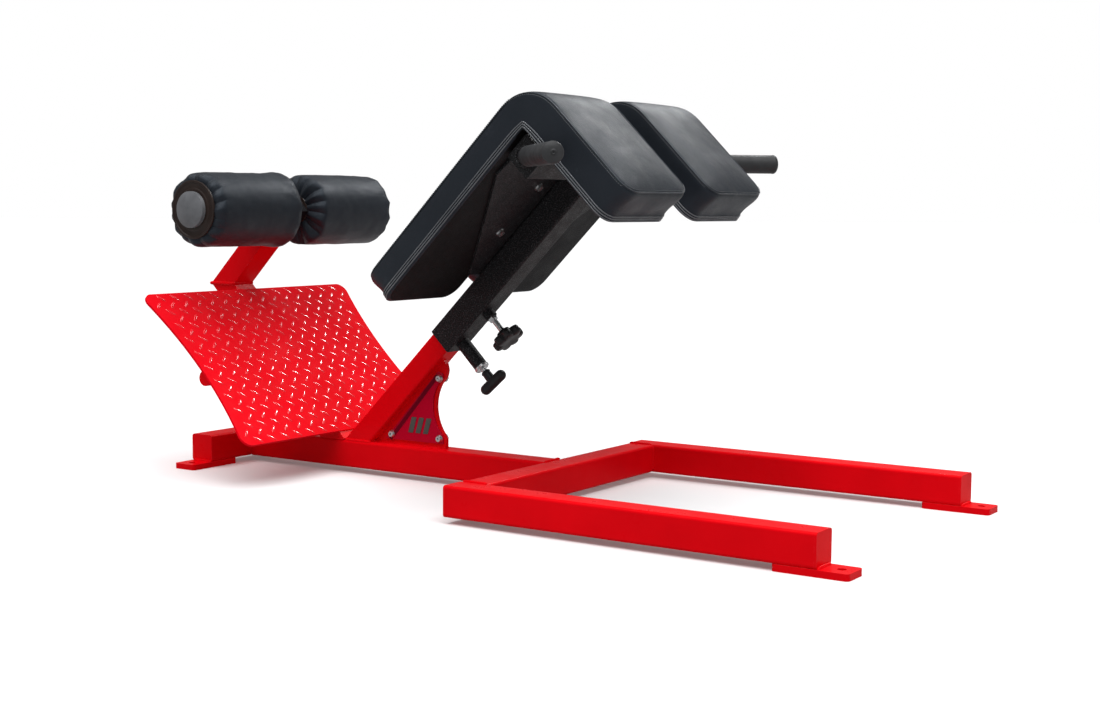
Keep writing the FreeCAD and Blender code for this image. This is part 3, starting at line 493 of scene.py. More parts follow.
def round_rectangle(length, width, radius, spacing):
    """Closed loop of (s, y) round a rectangle with rounded corners, evenly spaced on each stretch."""
    loop = []

    def run(a, b):
        steps = max(1, round((Vector(b) - Vector(a)).length / spacing))
        loop.extend(tuple(Vector(a).lerp(Vector(b), k / steps)) for k in range(steps))

    def turn(centre, start):
        steps = max(4, round(radius * pi / 2 / spacing))
        for k in range(steps):
            angle = start + pi / 2 * k / steps
            loop.append((centre[0] + radius * cos(angle), centre[1] + radius * sin(angle)))

    half = width / 2
    run((radius, -half), (length - radius, -half))
    turn((length - radius, -half + radius), -pi / 2)
    run((length, -half + radius), (length, half - radius))
    turn((length - radius, half - radius), 0)
    run((length - radius, half), (radius, half))
    turn((radius, half - radius), pi / 2)
    run((0, half - radius), (0, -half + radius))
    turn((radius, -half + radius), pi)
    return loop


def inset_loop(loop, length, width, inset):
    """The same loop drawn in towards the middle of the rectangle."""
    half = width / 2
    result = []
    for s, y in loop:
        past = min(0.0, s - half) + max(0.0, s - (length - half))       # how far into an end, signed
        drawn = inset * min(1.0, abs(past) / half * 1.2)
        result.append((s + drawn if past < 0 else s - drawn, y * (1 - inset / half)))
    return result


# wall rows from the back's edge up to the top seam: inset on the long sides, extra inset at the ends,
# height above the back, height as a share of the depth left above the welts, how firmly it is sewn
WELT_TOP = 0.0150
WALL = [(0.0050, 0.0, 0.0000, 0.0, 1.0), (0.0022, 0.0, 0.0014, 0.0, 1.0),
        (0.0014, 0.0, 0.0032, 0.0, 1.0), (0.0010, 0.0, 0.0050, 0.0, 1.0),
        (0.0015, 0.0002, 0.0074, 0.0, 1.0), (0.0010, 0.0004, 0.0098, 0.0, 1.0),
        (0.0015, 0.0008, 0.0122, 0.0, 1.0), (0.0010, 0.0012, 0.0146, 0.0, 1.0),
        (0.0008, 0.0024, WELT_TOP, 0.10, 0.6), (0.0006, 0.0030, WELT_TOP, 0.22, 0.15),
        (0.0004, 0.0024, WELT_TOP, 0.36, 0.05), (0.0002, 0.0010, WELT_TOP, 0.50, 0.05),
        (0.0000, -0.0004, WELT_TOP, 0.64, 0.05), (0.0000, -0.0010, WELT_TOP, 0.78, 0.2),
        (0.0002, -0.0008, WELT_TOP, 0.90, 0.5), (0.0016, 0.0000, WELT_TOP, 0.985, 1.0)]
SEAM_RING = len(WALL) - 1
END_REACH = 0.030               # how far from an end its extra inset is felt
BACK_INSETS = (0.085, 0.055, 0.030, 0.012)
WELT_RINGS = (3, 5, 7)
# face rows inside the seam: inset, rise over the flat face, how firmly it is sewn
FACE = [(0.0048, 0.0006, 0.35), (0.0105, 0.0019, 0.08), (0.0190, 0.0031, 0.0), (0.0300, 0.0040, 0.0),
        (0.0440, 0.0046, 0.0), (0.0620, 0.0050, 0.0), (0.0820, 0.0052, 0.0)]


def build_pad_mesh(side):
    """Pad as rings: back panel, walls, top seam and crowned face."""
    length = THIGH_RUN + HIP_RUN
    width = CUSHION_OUT - CUSHION_IN
    middle = side * (CUSHION_IN + CUSHION_OUT) / 2
    loop = round_rectangle(length, width, PAD_CORNER, RING_SPACING)
    work = bmesh.new()
    weight_layer = work.verts.layers.float.new("hold")

    def add_ring(inset, height_at, hold, end_inset=0.0):
        ring = []
        for (s, y), (flat_s, _) in zip(inset_loop(loop, length, width, inset), loop):
            to_end = min(flat_s, length - flat_s)
            s += end_inset * max(0.0, 1 - to_end / END_REACH) * (1 if flat_s < length / 2 else -1)
            u, lateral, w = pad_point(s, y * side, height_at(s))
            vert = work.verts.new(incline(u, middle + lateral, w))
            vert[weight_layer] = hold
            ring.append(vert)
        return ring

    back_rings = [add_ring(inset, lambda s: 0.0, 1.0) for inset in BACK_INSETS]
    walls = [add_ring(inset, lambda s: base + share * (pad_depth(s) - base), hold, end)
             for inset, end, base, share, hold in WALL]
    tops = [add_ring(inset, lambda s: pad_depth(s) + rise * (1 - 0.55 * bend_crown(s)), hold)
            for inset, rise, hold in FACE]
    rings = back_rings + walls + tops
    count = len(loop)
    for a, b in zip(rings, rings[1:]):
        for j in range(count):
            k = (j + 1) % count
            work.faces.new((a[j], a[k], b[k], b[j]))
    for ring in (rings[0], rings[-1]):
        close_middle(work, ring, loop, width)
    bmesh.ops.recalc_face_normals(work, faces=work.faces)
    return work, walls


def close_middle(work, ring, loop, width):
    """Closes the innermost ring by joining its two long sides across, and its ends as fans."""
    count = len(ring)
    layer = work.verts.layers.float["hold"]
    lower = [i for i, (s, y) in enumerate(loop) if y < -width / 2 + 1e-6]
    upper = [i for i, (s, y) in enumerate(loop) if y > width / 2 - 1e-6][::-1]
    pairs = min(len(lower), len(upper))
    for k in range(pairs - 1):
        a, b = ring[lower[k]], ring[lower[k + 1]]
        c, d = ring[upper[k + 1]], ring[upper[k]]
        work.faces.new((a, b, c, d))
    # ends: from the last lower vert round the end to the first upper vert
    far = [ring[i % count] for i in range(lower[pairs - 1], upper[pairs - 1] + 1)]
    near = [ring[i % count] for i in range(upper[0], lower[0] + count + 1)]
    for fan in (far, near):
        hub = work.verts.new(sum((v.co for v in fan), Vector()) / len(fan))
        hub[layer] = fan[0][layer]
        for a, b in zip(fan, fan[1:] + fan[:1]):
            work.faces.new((a, b, hub))


MOST_SWELL = 0.0060             # no point of the pad moves further than this under pressure
PRESSURE_STEPS = 20
PUCKER, PUCKER_REACH = 0.0011, 0.016
SLOW_WAVE = 0.0008
SEAM_DIP = 0.0012


def inflate(piece, holds):
    """Cloth pressure fills the panels between their sewn lines."""
    start = [v.co.copy() for v in piece.data.vertices]
    group = piece.vertex_groups.new(name="sewn")
    for index, hold in enumerate(holds):
        if hold > 0:
            group.add([index], hold, "REPLACE")
    cloth = piece.modifiers.new("fill", "CLOTH")
    settings = cloth.settings
    settings.quality = 6
    settings.mass = 0.3
    settings.use_pressure = True
    settings.uniform_pressure_force = 4.0
    settings.vertex_group_mass = "sewn"
    settings.tension_stiffness = settings.compression_stiffness = 25.0
    settings.shear_stiffness = 15.0
    settings.bending_stiffness = 1.5
    settings.effector_weights.gravity = 0.0
    cloth.collision_settings.use_collision = False
    cloth.collision_settings.use_self_collision = False
    cloth.point_cache.frame_start, cloth.point_cache.frame_end = 1, PRESSURE_STEPS
    for number in range(1, PRESSURE_STEPS + 1):
        SCENE.frame_set(number)
    evaluated = piece.evaluated_get(bpy.context.evaluated_depsgraph_get())
    moved = [v.co.copy() for v in evaluated.data.vertices]
    piece.modifiers.remove(cloth)
    SCENE.frame_set(1)
    for vert, before, after in zip(piece.data.vertices, start, moved):
        step = after - before
        if step.length > MOST_SWELL:
            step *= MOST_SWELL / step.length
        vert.co = before + step
    piece.vertex_groups.clear()
    piece.data.update()


def pad_creases(point, seam_distance):
    """Small puckers that run out of the seams, and slow waves over the face."""
    fine = noise.noise(point * 55.0) * 0.5 + noise.noise(point * 130.0) * 0.25
    slow = noise.noise(point * 9.0 + Vector((3, 1, 7)))
    near_seam = exp(-(seam_distance / PUCKER_REACH) ** 2)
    return fine * PUCKER * near_seam + slow * SLOW_WAVE


def build_pads():
    """The right cushion is filled; the left one is its mirror image."""
    saved = None
    for name, side in (("right", -1), ("left", 1)):
        work, walls = build_pad_mesh(side)
        work.verts.ensure_lookup_table()
        work.verts.index_update()
        layer = work.verts.layers.float["hold"]
        holds = [v[layer] for v in work.verts]
        seam_index = [v.index for v in walls[SEAM_RING]]
        welt_index = [[v.index for v in walls[k]] for k in WELT_RINGS]
        mesh = bpy.data.meshes.new(name + "_cushion")
        work.to_mesh(mesh)
        work.free()
        piece = bpy.data.objects.new(name + "_cushion", mesh)
        SCENE.collection.objects.link(piece)
        mesh.materials.append(VINYL)
        mesh.materials.append(BACK_VINYL)
        if saved is None:
            inflate(piece, holds)
            saved = [v.co.copy() for v in mesh.vertices]
        else:
            for vert, source in zip(mesh.vertices, saved):
                vert.co = Vector((source.x, -source.y, source.z))
        # dip at the top seam, then puckers beside it
        mesh.update()
        normals = [v.normal.copy() for v in mesh.vertices]
        seam_points = [mesh.vertices[i].co.copy() for i in seam_index]
        for index in seam_index:
            mesh.vertices[index].co -= normals[index] * SEAM_DIP
        fixed = {i for i, hold in enumerate(holds) if hold >= 1.0}
        tree = seam_tree(seam_points)
        for vert in mesh.vertices:
            if vert.index in fixed:
                continue
            sample = vert.co.copy()
            sample.y = abs(sample.y)
            vert.co += normals[vert.index] * pad_creases(sample, tree.find(vert.co)[2])
        for face in mesh.polygons:
            place = face.center - incline(0, 0, 0)
            u, w = place.dot(UP_SLOPE), place.dot(OFF_SLOPE)
            on_thigh = abs(w - BASE) < 0.0006 and u < BACK_U + 0.001
            on_back = on_thigh or (abs(u - BACK_U) < 0.0006 and w < BASE + 0.001)
            face.material_index = 1 if on_back else 0
        mesh.shade_smooth()
        smoother = piece.modifiers.new("smooth_surface", "SUBSURF")
        smoother.levels = smoother.render_levels = 1
        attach(piece, "carriage")
        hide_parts(name + "_pad", name + "_pad_boards")
        trim_pad(name, mesh, seam_index, welt_index, normals)


def seam_tree(points):
    """Finds the nearest point of a seam."""
    tree = KDTree(len(points))
    for index, point in enumerate(points):
        tree.insert(point, index)
    tree.balance()
    return tree


def smooth_loop(points):
    """Evens out a closed loop, twice over."""
    for _ in range(2):
        count = len(points)
        points = [(points[i - 1] + points[i] * 2 + points[(i + 1) % count]) / 4 for i in range(count)]
    return points


def resample(points, spacing):
    """Evenly spaced points round a closed loop."""
    count = len(points)
    lengths = [0.0]
    for i in range(count):
        lengths.append(lengths[-1] + (points[(i + 1) % count] - points[i]).length)
    steps = max(8, int(lengths[-1] / spacing))
    result = []
    edge = 0
    for k in range(steps):
        target = lengths[-1] * k / steps
        while lengths[edge + 1] < target:
            edge += 1
        t = (target - lengths[edge]) / max(1e-9, lengths[edge + 1] - lengths[edge])
        result.append(points[edge].lerp(points[(edge + 1) % count], t))
    return result


PIPING_R, WELT_R, THREAD_R = 0.0014, 0.0013, 0.00042
STITCH_PITCH, STITCH_LENGTH, STITCH_INSET = 0.0045, 0.0026, 0.0042
FACE_CENTRE = {name: incline(0.80, side * (CUSHION_IN + CUSHION_OUT) / 2, 0.0)
               for name, side in (("right", -1), ("left", 1))}


def trim_pad(name, mesh, seam_index, welt_index, normals):
    """Top piping with its stitches, and the three welts round the back edge."""
    seam = smooth_loop([mesh.vertices[i].co + normals[i] * 0.0010 for i in seam_index])
    shape = tube(resample(seam, 0.005), PIPING_R, sides=8, closed=True)
    # lighter piping colour: a painted highlight along the top seam
    make_piece(name + "_pad_piping", shape, PIPING_PAINTED_HIGHLIGHT, "carriage")
    welts = []
    for ring in welt_index:
        loop = [mesh.vertices[i].co + normals[i] * 0.0006 for i in ring]
        welts.append(tube(resample(loop, 0.0035), WELT_R, sides=8, closed=True))
    # lighter welt colour: painted highlights along the back edge
    make_piece(name + "_pad_welts", merge(welts), WELT_PAINTED_HIGHLIGHT, "carriage")
    # stitches lie on the wall just under the piping
    below = smooth_loop([mesh.vertices[i].co + normals[i] * 0.0007 for i in seam_index])
    points = resample(below, STITCH_PITCH)
    reach = STITCH_LENGTH / 2
    stitches = []
    tree = seam_tree([mesh.vertices[i].co for i in seam_index])
    for k, point in enumerate(points):
        ahead = (points[(k + 1) % len(points)] - points[k - 1]).normalized()
        near = tree.find(point)[1]
        out = normals[seam_index[near]]
        inward = out.cross(ahead).normalized()
        sign = 1 if inward.dot(FACE_CENTRE[name] - point) > 0 else -1
        place = point + inward * sign * STITCH_INSET + out * 0.0007
        path = [place + ahead * reach * t + out * lift
                for t, lift in ((-1, 0.0), (-0.5, 0.0003), (0, 0.0004), (0.5, 0.0003), (1, 0.0))]
        stitches.append(tube(path, THREAD_R, sides=5))
    make_piece(name + "_pad_stitches", merge(stitches), THREAD, "carriage")


# ------------------------------------------------------------------ ankle rollers
AXLE_OFF = 0.51677              # w of the roller post's axis
POST_TOP = 0.2210               # u of its capped end
AXLE = incline(0.1956, 0, AXLE_OFF)
ROLLER_IN, ROLLER_OUT, ROLLER_R = 0.0315, 0.285, 0.0800
DISC_R, DISC_HOLE = 0.062, 0.0202


def pleats(seed, count):
    """Irregular gathers round an end: returns how deep the fold is, from 0, at an angle."""
    picker = random.Random(seed)
    marks = [(k + picker.uniform(-0.30, 0.30)) / count for k in range(count)]
    strengths = [picker.uniform(0.5, 1.0) for _ in marks]
    skews = [picker.uniform(-0.6, 0.6) for _ in marks]

    def depth(angle, lean):
        turn = (angle / (2 * pi)) % 1.0
        total = 0.0
        for mark, strength, skew in zip(marks, strengths, skews):
            gap = (turn - mark - (skew + 0.9) * lean * 0.010 + 0.5) % 1.0 - 0.5
            total += strength * max(0.0, 1 - (abs(gap) * count * 1.8) ** 0.8)
        return min(total, 1.15)

    return depth


SHOULDER_STEPS = 14
BARREL_STEPS = 24
ROLLER_SEGMENTS = 360
SEAM_ANGLE = radians(205)       # the closing seam faces back and down at rest
GATHERS = 15
FOLD_DEPTH = 0.0150
RIM_PULL = (0.35, 0.14)         # how far the folds draw in the rims, inner and outer
INNER_PUFF = 0.0048             # the right roller bulges towards the post
INNER_OPENING = 0.034           # the inner gathers reach in over the disc


def roller_profile(shoulders):
    """Rows (radius, height, zone, share): zones 0 and 1 are the ends, 2 the barrel, 3 the hidden inside."""
    ends = []
    for shoulder, opening in zip(shoulders, (INNER_OPENING, DISC_R - 0.002)):
        end = []
        for k in range(SHOULDER_STEPS + 1):
            angle = k / SHOULDER_STEPS * pi / 2
            radius = opening + (ROLLER_R - opening) * sin(angle) ** 0.8
            end.append((radius, shoulder * (1 - cos(angle)) ** 1.15, 1 - k / SHOULDER_STEPS))
        ends.append(end)
    rows = [(radius, ROLLER_IN + inward, 0, share) for radius, inward, share in ends[0]]
    low, high = ROLLER_IN + shoulders[0], ROLLER_OUT - shoulders[1]
    for k in range(1, BARREL_STEPS):
        rows.append((ROLLER_R, low + (high - low) * k / BARREL_STEPS, 2, k / BARREL_STEPS))
    rows += [(radius, ROLLER_OUT - inward, 1, share) for radius, inward, share in reversed(ends[1])]
    rows += [(DISC_R - 0.006, ROLLER_OUT - 0.0035, 3, 0), (INNER_OPENING - 0.004, ROLLER_IN + 0.0025, 3, 0)]
    return rows


def build_rollers():
    """Gathered covers, each with a closing seam and its end discs."""
    for name, side, shoulders in (("left", 1, (0.022, 0.013)), ("right", -1, (0.007, 0.025))):
        folds = [pleats(23 + side, GATHERS), pleats(11 + side, GATHERS)]
        rows = roller_profile(shoulders)
        seed = Vector((5.1 * side, 2.7, 1.3))

        def gathered(i, angle, radius, height):
            zone, share = rows[i][2:]
            if zone == 3:
                return radius, height
            around = Vector((cos(angle), sin(angle), 0))
            radius += 0.0010 * noise.noise(around * 1.4 + Vector((0, 0, height * 18)) + seed)
            if side < 0 and (zone == 2 or share < 0.5):
                radius += INNER_PUFF * exp(-((height - ROLLER_IN) / 0.030) ** 2)
            if zone == 2:
                for end, away in ((0, share), (1, 1 - share)):
                    fade = max(0.0, 1 - away / 0.17)
                    radius -= 0.0014 * folds[end](angle, 1.0) * fade ** 1.6
                radius += 0.0007 * noise.noise(around * 4.0 + Vector((0, 0, height * 60)) + seed)
                return radius, height
            fold = folds[zone](angle, 1 - share)
            pull = min(1.0, share * 2.2) * (1 - 0.55 * share)
            radius -= (FOLD_DEPTH * RIM_PULL[zone] * pull + 0.0014) * fold * (1 - share)
            inward = FOLD_DEPTH * fold * pull
            height += inward if zone == 0 else -inward
            radius += noise.noise(around * 9.0 + seed) * 0.0006 * share
            return radius, height

        shape = lathe([row[:2] for row in rows], AXLE, (0, side, 0), ROLLER_SEGMENTS, gathered)
        cover = make_piece(name + "_roller_vinyl", shape, VINYL, name + "_roller")
        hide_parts(name + "_roller_cover", name + "_roller_foam")
        # sewn closing seam along the barrel
        out = Vector((cos(SEAM_ANGLE), 0, sin(SEAM_ANGLE)))
        start, end = ROLLER_IN + shoulders[0], ROLLER_OUT - shoulders[1]
        path = [AXLE + ACROSS * side * (start + (end - start) * k / 30) + out * (ROLLER_R + 0.0002)
                for k in range(31)]
        shape = tube(path, 0.0011, sides=6)
        # the seam's lighter piping colour is a painted highlight
        make_piece(name + "_roller_seam", shape, PIPING_PAINTED_HIGHLIGHT, name + "_roller")
        build_roller_discs(name, side)


def build_roller_discs(name, side):
    """Brown end discs: a dished ring with a raised rim."""
    parts = []
    for end, outward in ((ROLLER_IN + 0.0015, -1), (ROLLER_OUT, 1)):
        lift = 0.0012 if outward < 0 else 0.0022
        rim = DISC_R if outward > 0 else INNER_OPENING - 0.0005
        section = [(DISC_HOLE, -0.003), (rim - 0.001, -0.003), (rim, -0.002), (rim, lift - 0.0006),
                   (rim - 0.0010, lift), (rim - 0.0042, lift), (rim - 0.0060, lift - 0.0022),
                   (min(0.046, rim - 0.007), lift - 0.0026), (min(0.044, rim - 0.008), lift - 0.0012),
                   (0.0255, lift - 0.0008), (DISC_HOLE, lift - 0.0008)]
        profile = [(radius, end + outward * height) for radius, height in section]
        parts.append(lathe(profile, AXLE, (0, side, 0), segments=120))
    piece = make_piece(name + "_roller_end_discs", merge(parts), DISC, name + "_roller")
    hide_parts(name + "_roller_discs")
    soften(piece, 0.0004)


def build_post_buffer():
    """Black wrap over the end of the roller post, between the rollers, which makes the post's end dark there.
    """
    stand, low, half_width, thick = 0.0304, 0.176, 0.0302, 0.0012
    top = POST_TOP + stand - BROAD_HALF
    path = [(low, -stand), (top, -stand), (top, stand), (low, stand)]
    rings = []
    for k, (u, w) in enumerate(path):
        outward_u = thick if k in (1, 2) else 0.0
        outward_w = -thick if w < 0 else thick
        ring = [incline(u, side * half_width, AXLE_OFF + w) for side in (-1, 1)]
        ring += [incline(u + outward_u, side * (half_width - 0.0006), AXLE_OFF + w + outward_w)
                 for side in (1, -1)]
        rings.append(ring)
    piece = make_piece("post_end_wrap", loft(rings), POST_END_BLACK, "frame", smooth=False)
    soften(piece, 0.0005)


# ------------------------------------------------------------------ tread pattern
DECK_FACE = -0.0153
DECK_LOW, DECK_HIGH = 0.0435, 0.4695
DECK_END, DECK_WAIST = 0.331, 0.301


def deck_half(rise):
    """Half width of the waisted deck at a height up its slope."""
    middle = (DECK_LOW + DECK_HIGH) / 2
    half_run = (DECK_HIGH - DECK_LOW) / 2
    sag = DECK_END - DECK_WAIST
    radius = (half_run ** 2 + sag ** 2) / (2 * sag)
    return DECK_WAIST + radius - sqrt(radius ** 2 - (rise - middle) ** 2)


LUG_PITCH = 0.040
LUG_LONG, LUG_WIDE, LUG_TALL = 0.0125, 0.0036, 0.0013     # half length, half width, height
SIDE_MARGIN, CORNER_MARGIN = 0.016, 0.026
# across a lug: share of its half width, share of its height
LUG_SECTION = [(-0.78, 0.55), (-0.38, 0.92), (0, 1), (0.38, 0.92), (0.78, 0.55)]


def lug(centre, slant):
    """One lozenge, domed and tapered to its ends."""
    along = (ACROSS * cos(slant) + OFF_SLOPE * sin(slant)).normalized()
    across = UP_SLOPE.cross(along).normalized()
    rings = []
    for t in (-1.0, -0.72, -0.36, 0.0, 0.36, 0.72, 1.0):
        half = LUG_WIDE * sqrt(max(0.0, 1 - t * t)) + 0.0003
        peak = LUG_TALL * sqrt(max(0.0, 1 - t * t)) + 0.00005
        middle = centre + along * LUG_LONG * t
        section = [(-half, -0.0004)] + [(half * a, peak * b) for a, b in LUG_SECTION] + [(half, -0.0004)]
        rings.append([middle + across * a + UP_SLOPE * b for a, b in section])
    return loft(rings)


def build_tread():
    """Raised lozenge lugs in alternating directions over the deck."""
    step = LUG_PITCH / 2
    parts = []
    rows = int((DECK_HIGH - DECK_LOW) / step) + 1
    columns = int(2 * DECK_END / step) + 2
    for row in range(rows):
        rise = DECK_LOW + 0.012 + row * step
        from_edge = min(rise - DECK_LOW, DECK_HIGH - rise)
        if from_edge < 0.011:
            continue
        clear = CORNER_MARGIN if from_edge < 0.022 else SIDE_MARGIN
        for column in range(-columns, columns + 1):
            y = column * step
            if (row + column) % 2 or abs(y) > deck_half(rise) - clear:
                continue
            parts.append(lug(incline(DECK_FACE, y, rise), radians(45) if row % 2 else radians(-45)))
    make_piece("foot_plate_tread", merge(parts), LUG, "frame")


# ------------------------------------------------------------------ weld beads
RING_PITCH, RIPPLE = 0.0011, 0.0046
BEAD, BROAD_BEAD, FINE_BEAD = 0.0032, 0.0036, 0.0026
FLOOR_GAP = 0.016               # where upright beads begin
RAIL_INNER = 0.307
CROSS_BACK, CROSS_FRONT = 0.066, 0.1245
REAR_TUBE_END = 0.155
PLATE_REACH = 0.026             # half length of the beads on the floor plates
ELBOW_U = -0.0453
HANDLE_U, HANDLE_Y = 0.8567, 0.258
HANDLE_BEAD_R = 0.0172          # of the ring that the bead follows round the bar
CARRIAGE_CROSS_U = 0.8267


def weld(path, radius=BEAD):
    """Rippled bead along a path of corner points."""
    points = []
    for a, b in zip(path, path[1:]):
        steps = max(2, int((b - a).length / RING_PITCH))
        points.extend(a.lerp(b, k / steps) for k in range(steps))
    points.append(path[-1])
    picker = random.Random(len(points) * 7 + 3)
    phase = picker.uniform(0, 1)
    sway = [picker.uniform(-1, 1) for _ in range(len(points) // 12 + 2)]

    def radius_at(i):
        beat = (i * RING_PITCH / RIPPLE + phase) % 1.0
        wobble = sway[i // 12] * 0.06
        ends = min(1.0, 0.35 + 0.65 * min(i, len(points) - 1 - i) / 4)
        return radius * (0.86 + 0.24 * sin(pi * beat) + wobble) * ends

    return tube(points, radius, sides=8, radius_at=radius_at)


def straight(start, end, radius=BEAD):
    """Bead from one world point to another."""
    return weld([Vector(start), Vector(end)], radius)


def spine_end(x):
    """Beads round an end of the spine: along the top and up both sides."""
    beads = [straight((x, -0.028, SPINE_TOP), (x, 0.028, SPINE_TOP))]
    for y in (BROAD_HALF, -BROAD_HALF):
        beads.append(straight((x, y, FLOOR_GAP), (x, y, SPINE_TOP - 0.003)))
    return beads


def handle_root(side):
    """Where a handle's axis meets its end plate, and the way it points."""
    return incline(HANDLE_U, side * HANDLE_Y, 0), Vector((ROOT_HALF, side * ROOT_HALF, 0))


def handle_bead(side):
    """Bead where the slanted bar meets its end plate."""
    root, axis = handle_root(side)
    beside = axis.cross(UP)
    ring = []
    for k in range(49):
        angle = 2 * pi * k / 48
        start = root + (UP * cos(angle) + beside * sin(angle)) * HANDLE_BEAD_R
        ring.append(start + axis * ((side * HANDLE_Y - start.y) / axis.y))
    return weld(ring, 0.0045)


def build_welds():
    """Beads of the frame, then those of the carriage."""
    half = SLIM_HALF
    spine_low, spine_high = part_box("spine_tube")
    # upright on the spine: round its slanted foot
    foot = [incline(-half, -half, half), incline(half, -half, -half), incline(half, half, -half),
            incline(-half, half, half)]
    beads = [weld(foot + foot[:1], 0.0034)]
    beads += spine_end(spine_high.x)
    # front cross tube to the rails, inside corners
    for y in (RAIL_INNER, -RAIL_INNER):
        beads.append(straight((CROSS_BACK, y, SPINE_TOP), (CROSS_FRONT - 0.003, y, SPINE_TOP)))
        beads.append(straight((CROSS_FRONT, y, FLOOR_GAP), (CROSS_FRONT, y, SPINE_TOP - 0.003)))
    beads += spine_end(spine_low.x)
    # tubes on their floor plates
    for node in ("left_front_foot", "right_front_foot"):
        low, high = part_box(node)
        x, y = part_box("left_rail")[1].x + 0.0045, (low.y + high.y) / 2
        beads.append(straight((x, y - PLATE_REACH, high.z), (x, y + PLATE_REACH, high.z), BROAD_BEAD))
    for node in ("left_rear_foot", "right_rear_foot"):
        low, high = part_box(node)
        x, y = (low.x + high.x) / 2, REAR_TUBE_END if high.y > 0 else -REAR_TUBE_END
        beads.append(straight((x - PLATE_REACH, y, high.z), (x + PLATE_REACH, y, high.z), BROAD_BEAD))
    # gusset along the spine and up the upright
    low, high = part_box("gusset_plate")
    for y in (0.0055, -0.0055):
        beads.append(straight((low.x + 0.004, y, SPINE_TOP), (high.x - 0.006, y, SPINE_TOP), FINE_BEAD))
        beads.append(straight(incline(0.040, y, -half), incline(0.286, y, -half), FINE_BEAD))
    # elbow of the roller post, round the mitre
    mitre = [incline(ELBOW_U, y * BROAD_HALF, AXLE_OFF) + AHEAD * x * half * sqrt(2)
             for x, y in ((-1, 1), (1, 1), (1, -1), (-1, -1))]
    beads.append(weld(mitre + mitre[:1], 0.0038))
    make_piece("weld_beads", merge(beads), RED, "frame")

    side_reach = BROAD_HALF - 0.002
    dark = [handle_bead(1), handle_bead(-1)]
    dark.append(straight(incline(CARRIAGE_CROSS_U, -BROAD_HALF, -BROAD_HALF),
                         incline(CARRIAGE_CROSS_U, BROAD_HALF, -BROAD_HALF), 0.003))
    for y in (BROAD_HALF, -BROAD_HALF):
        dark.append(straight(incline(CARRIAGE_CROSS_U, y, -side_reach),
                             incline(CARRIAGE_CROSS_U, y, side_reach), 0.003))
    make_piece("carriage_weld_beads", merge(dark), BLACK, "carriage")


# ------------------------------------------------------------------ hand parts
LOCK_U, PIN_U = 0.4457, 0.3533
THREAD_START, KNOB_START = -0.051, -0.082     # w of the thread and the knob
KNOB_R, KNOB_ROUND, LOBE_DEPTH = 0.0352, 0.0320, 0.265


def under_sleeve(angle):
    """Direction square to the lock screw and the pull pin, at an angle round them."""
    return UP_SLOPE * cos(angle) + ACROSS * sin(angle)


def build_star_knob():
    """Seven-lobed knob with scooped flanks, a raised hub and a collar."""
    lobes, count = 7, 196
    # (height, scale of the lobed outline, pull towards a circle)
    layers = [(0.0000, 0.38, 1.0), (0.0006, 0.46, 1.0), (0.0066, 0.48, 1.0), (0.0088, 0.62, 0.75),
              (0.0096, 0.86, 0.10), (0.0110, 0.955, 0.0), (0.0135, 1.0, 0.0), (0.0200, 1.0, 0.0),
              (0.0240, 0.985, 0.0), (0.0266, 0.94, 0.0), (0.0279, 0.86, 0.0), (0.0282, 0.60, 0.6),
              (0.0276, 0.42, 1.0), (0.0276, 0.30, 1.0), (0.0270, 0.05, 1.0)]
    rings = []
    for height, scale, circle in layers:
        middle = incline(LOCK_U, 0, KNOB_START - height)
        ring = []
        for k in range(count):
            angle = 2 * pi * k / count
            wave = 0.5 + 0.5 * cos(lobes * angle)
            lobed = KNOB_R * (1 - LOBE_DEPTH + LOBE_DEPTH * wave ** 0.55)
            radius = (lobed * (1 - circle) + KNOB_ROUND * circle) * scale
            ring.append(middle + under_sleeve(angle) * radius)
        rings.append(ring)
    knob = make_piece("star_knob_moulding", loft(rings), PLASTIC, "lock_knob")
    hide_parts("star_knob")


def build_tee_handle():
    """Pill-shaped pull handle on a round stem, with soft blends."""
    tee, stem_top, radius, half = -0.1415, -0.1115, 0.0115, 0.034
    centre = incline(PIN_U, 0, tee)
    across = under_sleeve(radians(9.4))
    points, radii = [], []
    steps = 40
    for k in range(steps + 1):
        t = -1 + 2 * k / steps
        along = half * sin(t * pi / 2)
        cap = max(0.0, abs(along) - (half - radius))
        points.append(centre + across * along)
        radii.append(max(0.0004, sqrt(max(0.0, radius ** 2 - cap ** 2))))
    pill = tube(points, radius, sides=40, radius_at=lambda i: radii[i])
    length = stem_top - tee
    profile = [(0.0062, 0), (0.0100, 0), (0.0104, 0.006), (0.0100, 0.0105), (0.0094, length - 0.004),
               (0.0096, length - 0.0012), (0.0088, length), (0.0062, length)]
    stem = lathe(rounded(profile, 0.0008, 3), centre, OFF_SLOPE, segments=48)
    ring_profile = [(0.0092, length - 0.0040), (0.0100, length - 0.0038), (0.0103, length - 0.0028),
                    (0.0100, length - 0.0018), (0.0092, length - 0.0016)]
    shape = merge([pill, stem, lathe(ring_profile, centre, OFF_SLOPE, segments=48)])
    handle = make_piece("pull_handle_moulding", shape, PLASTIC, "index_pin")
    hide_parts("pin_t_handle")


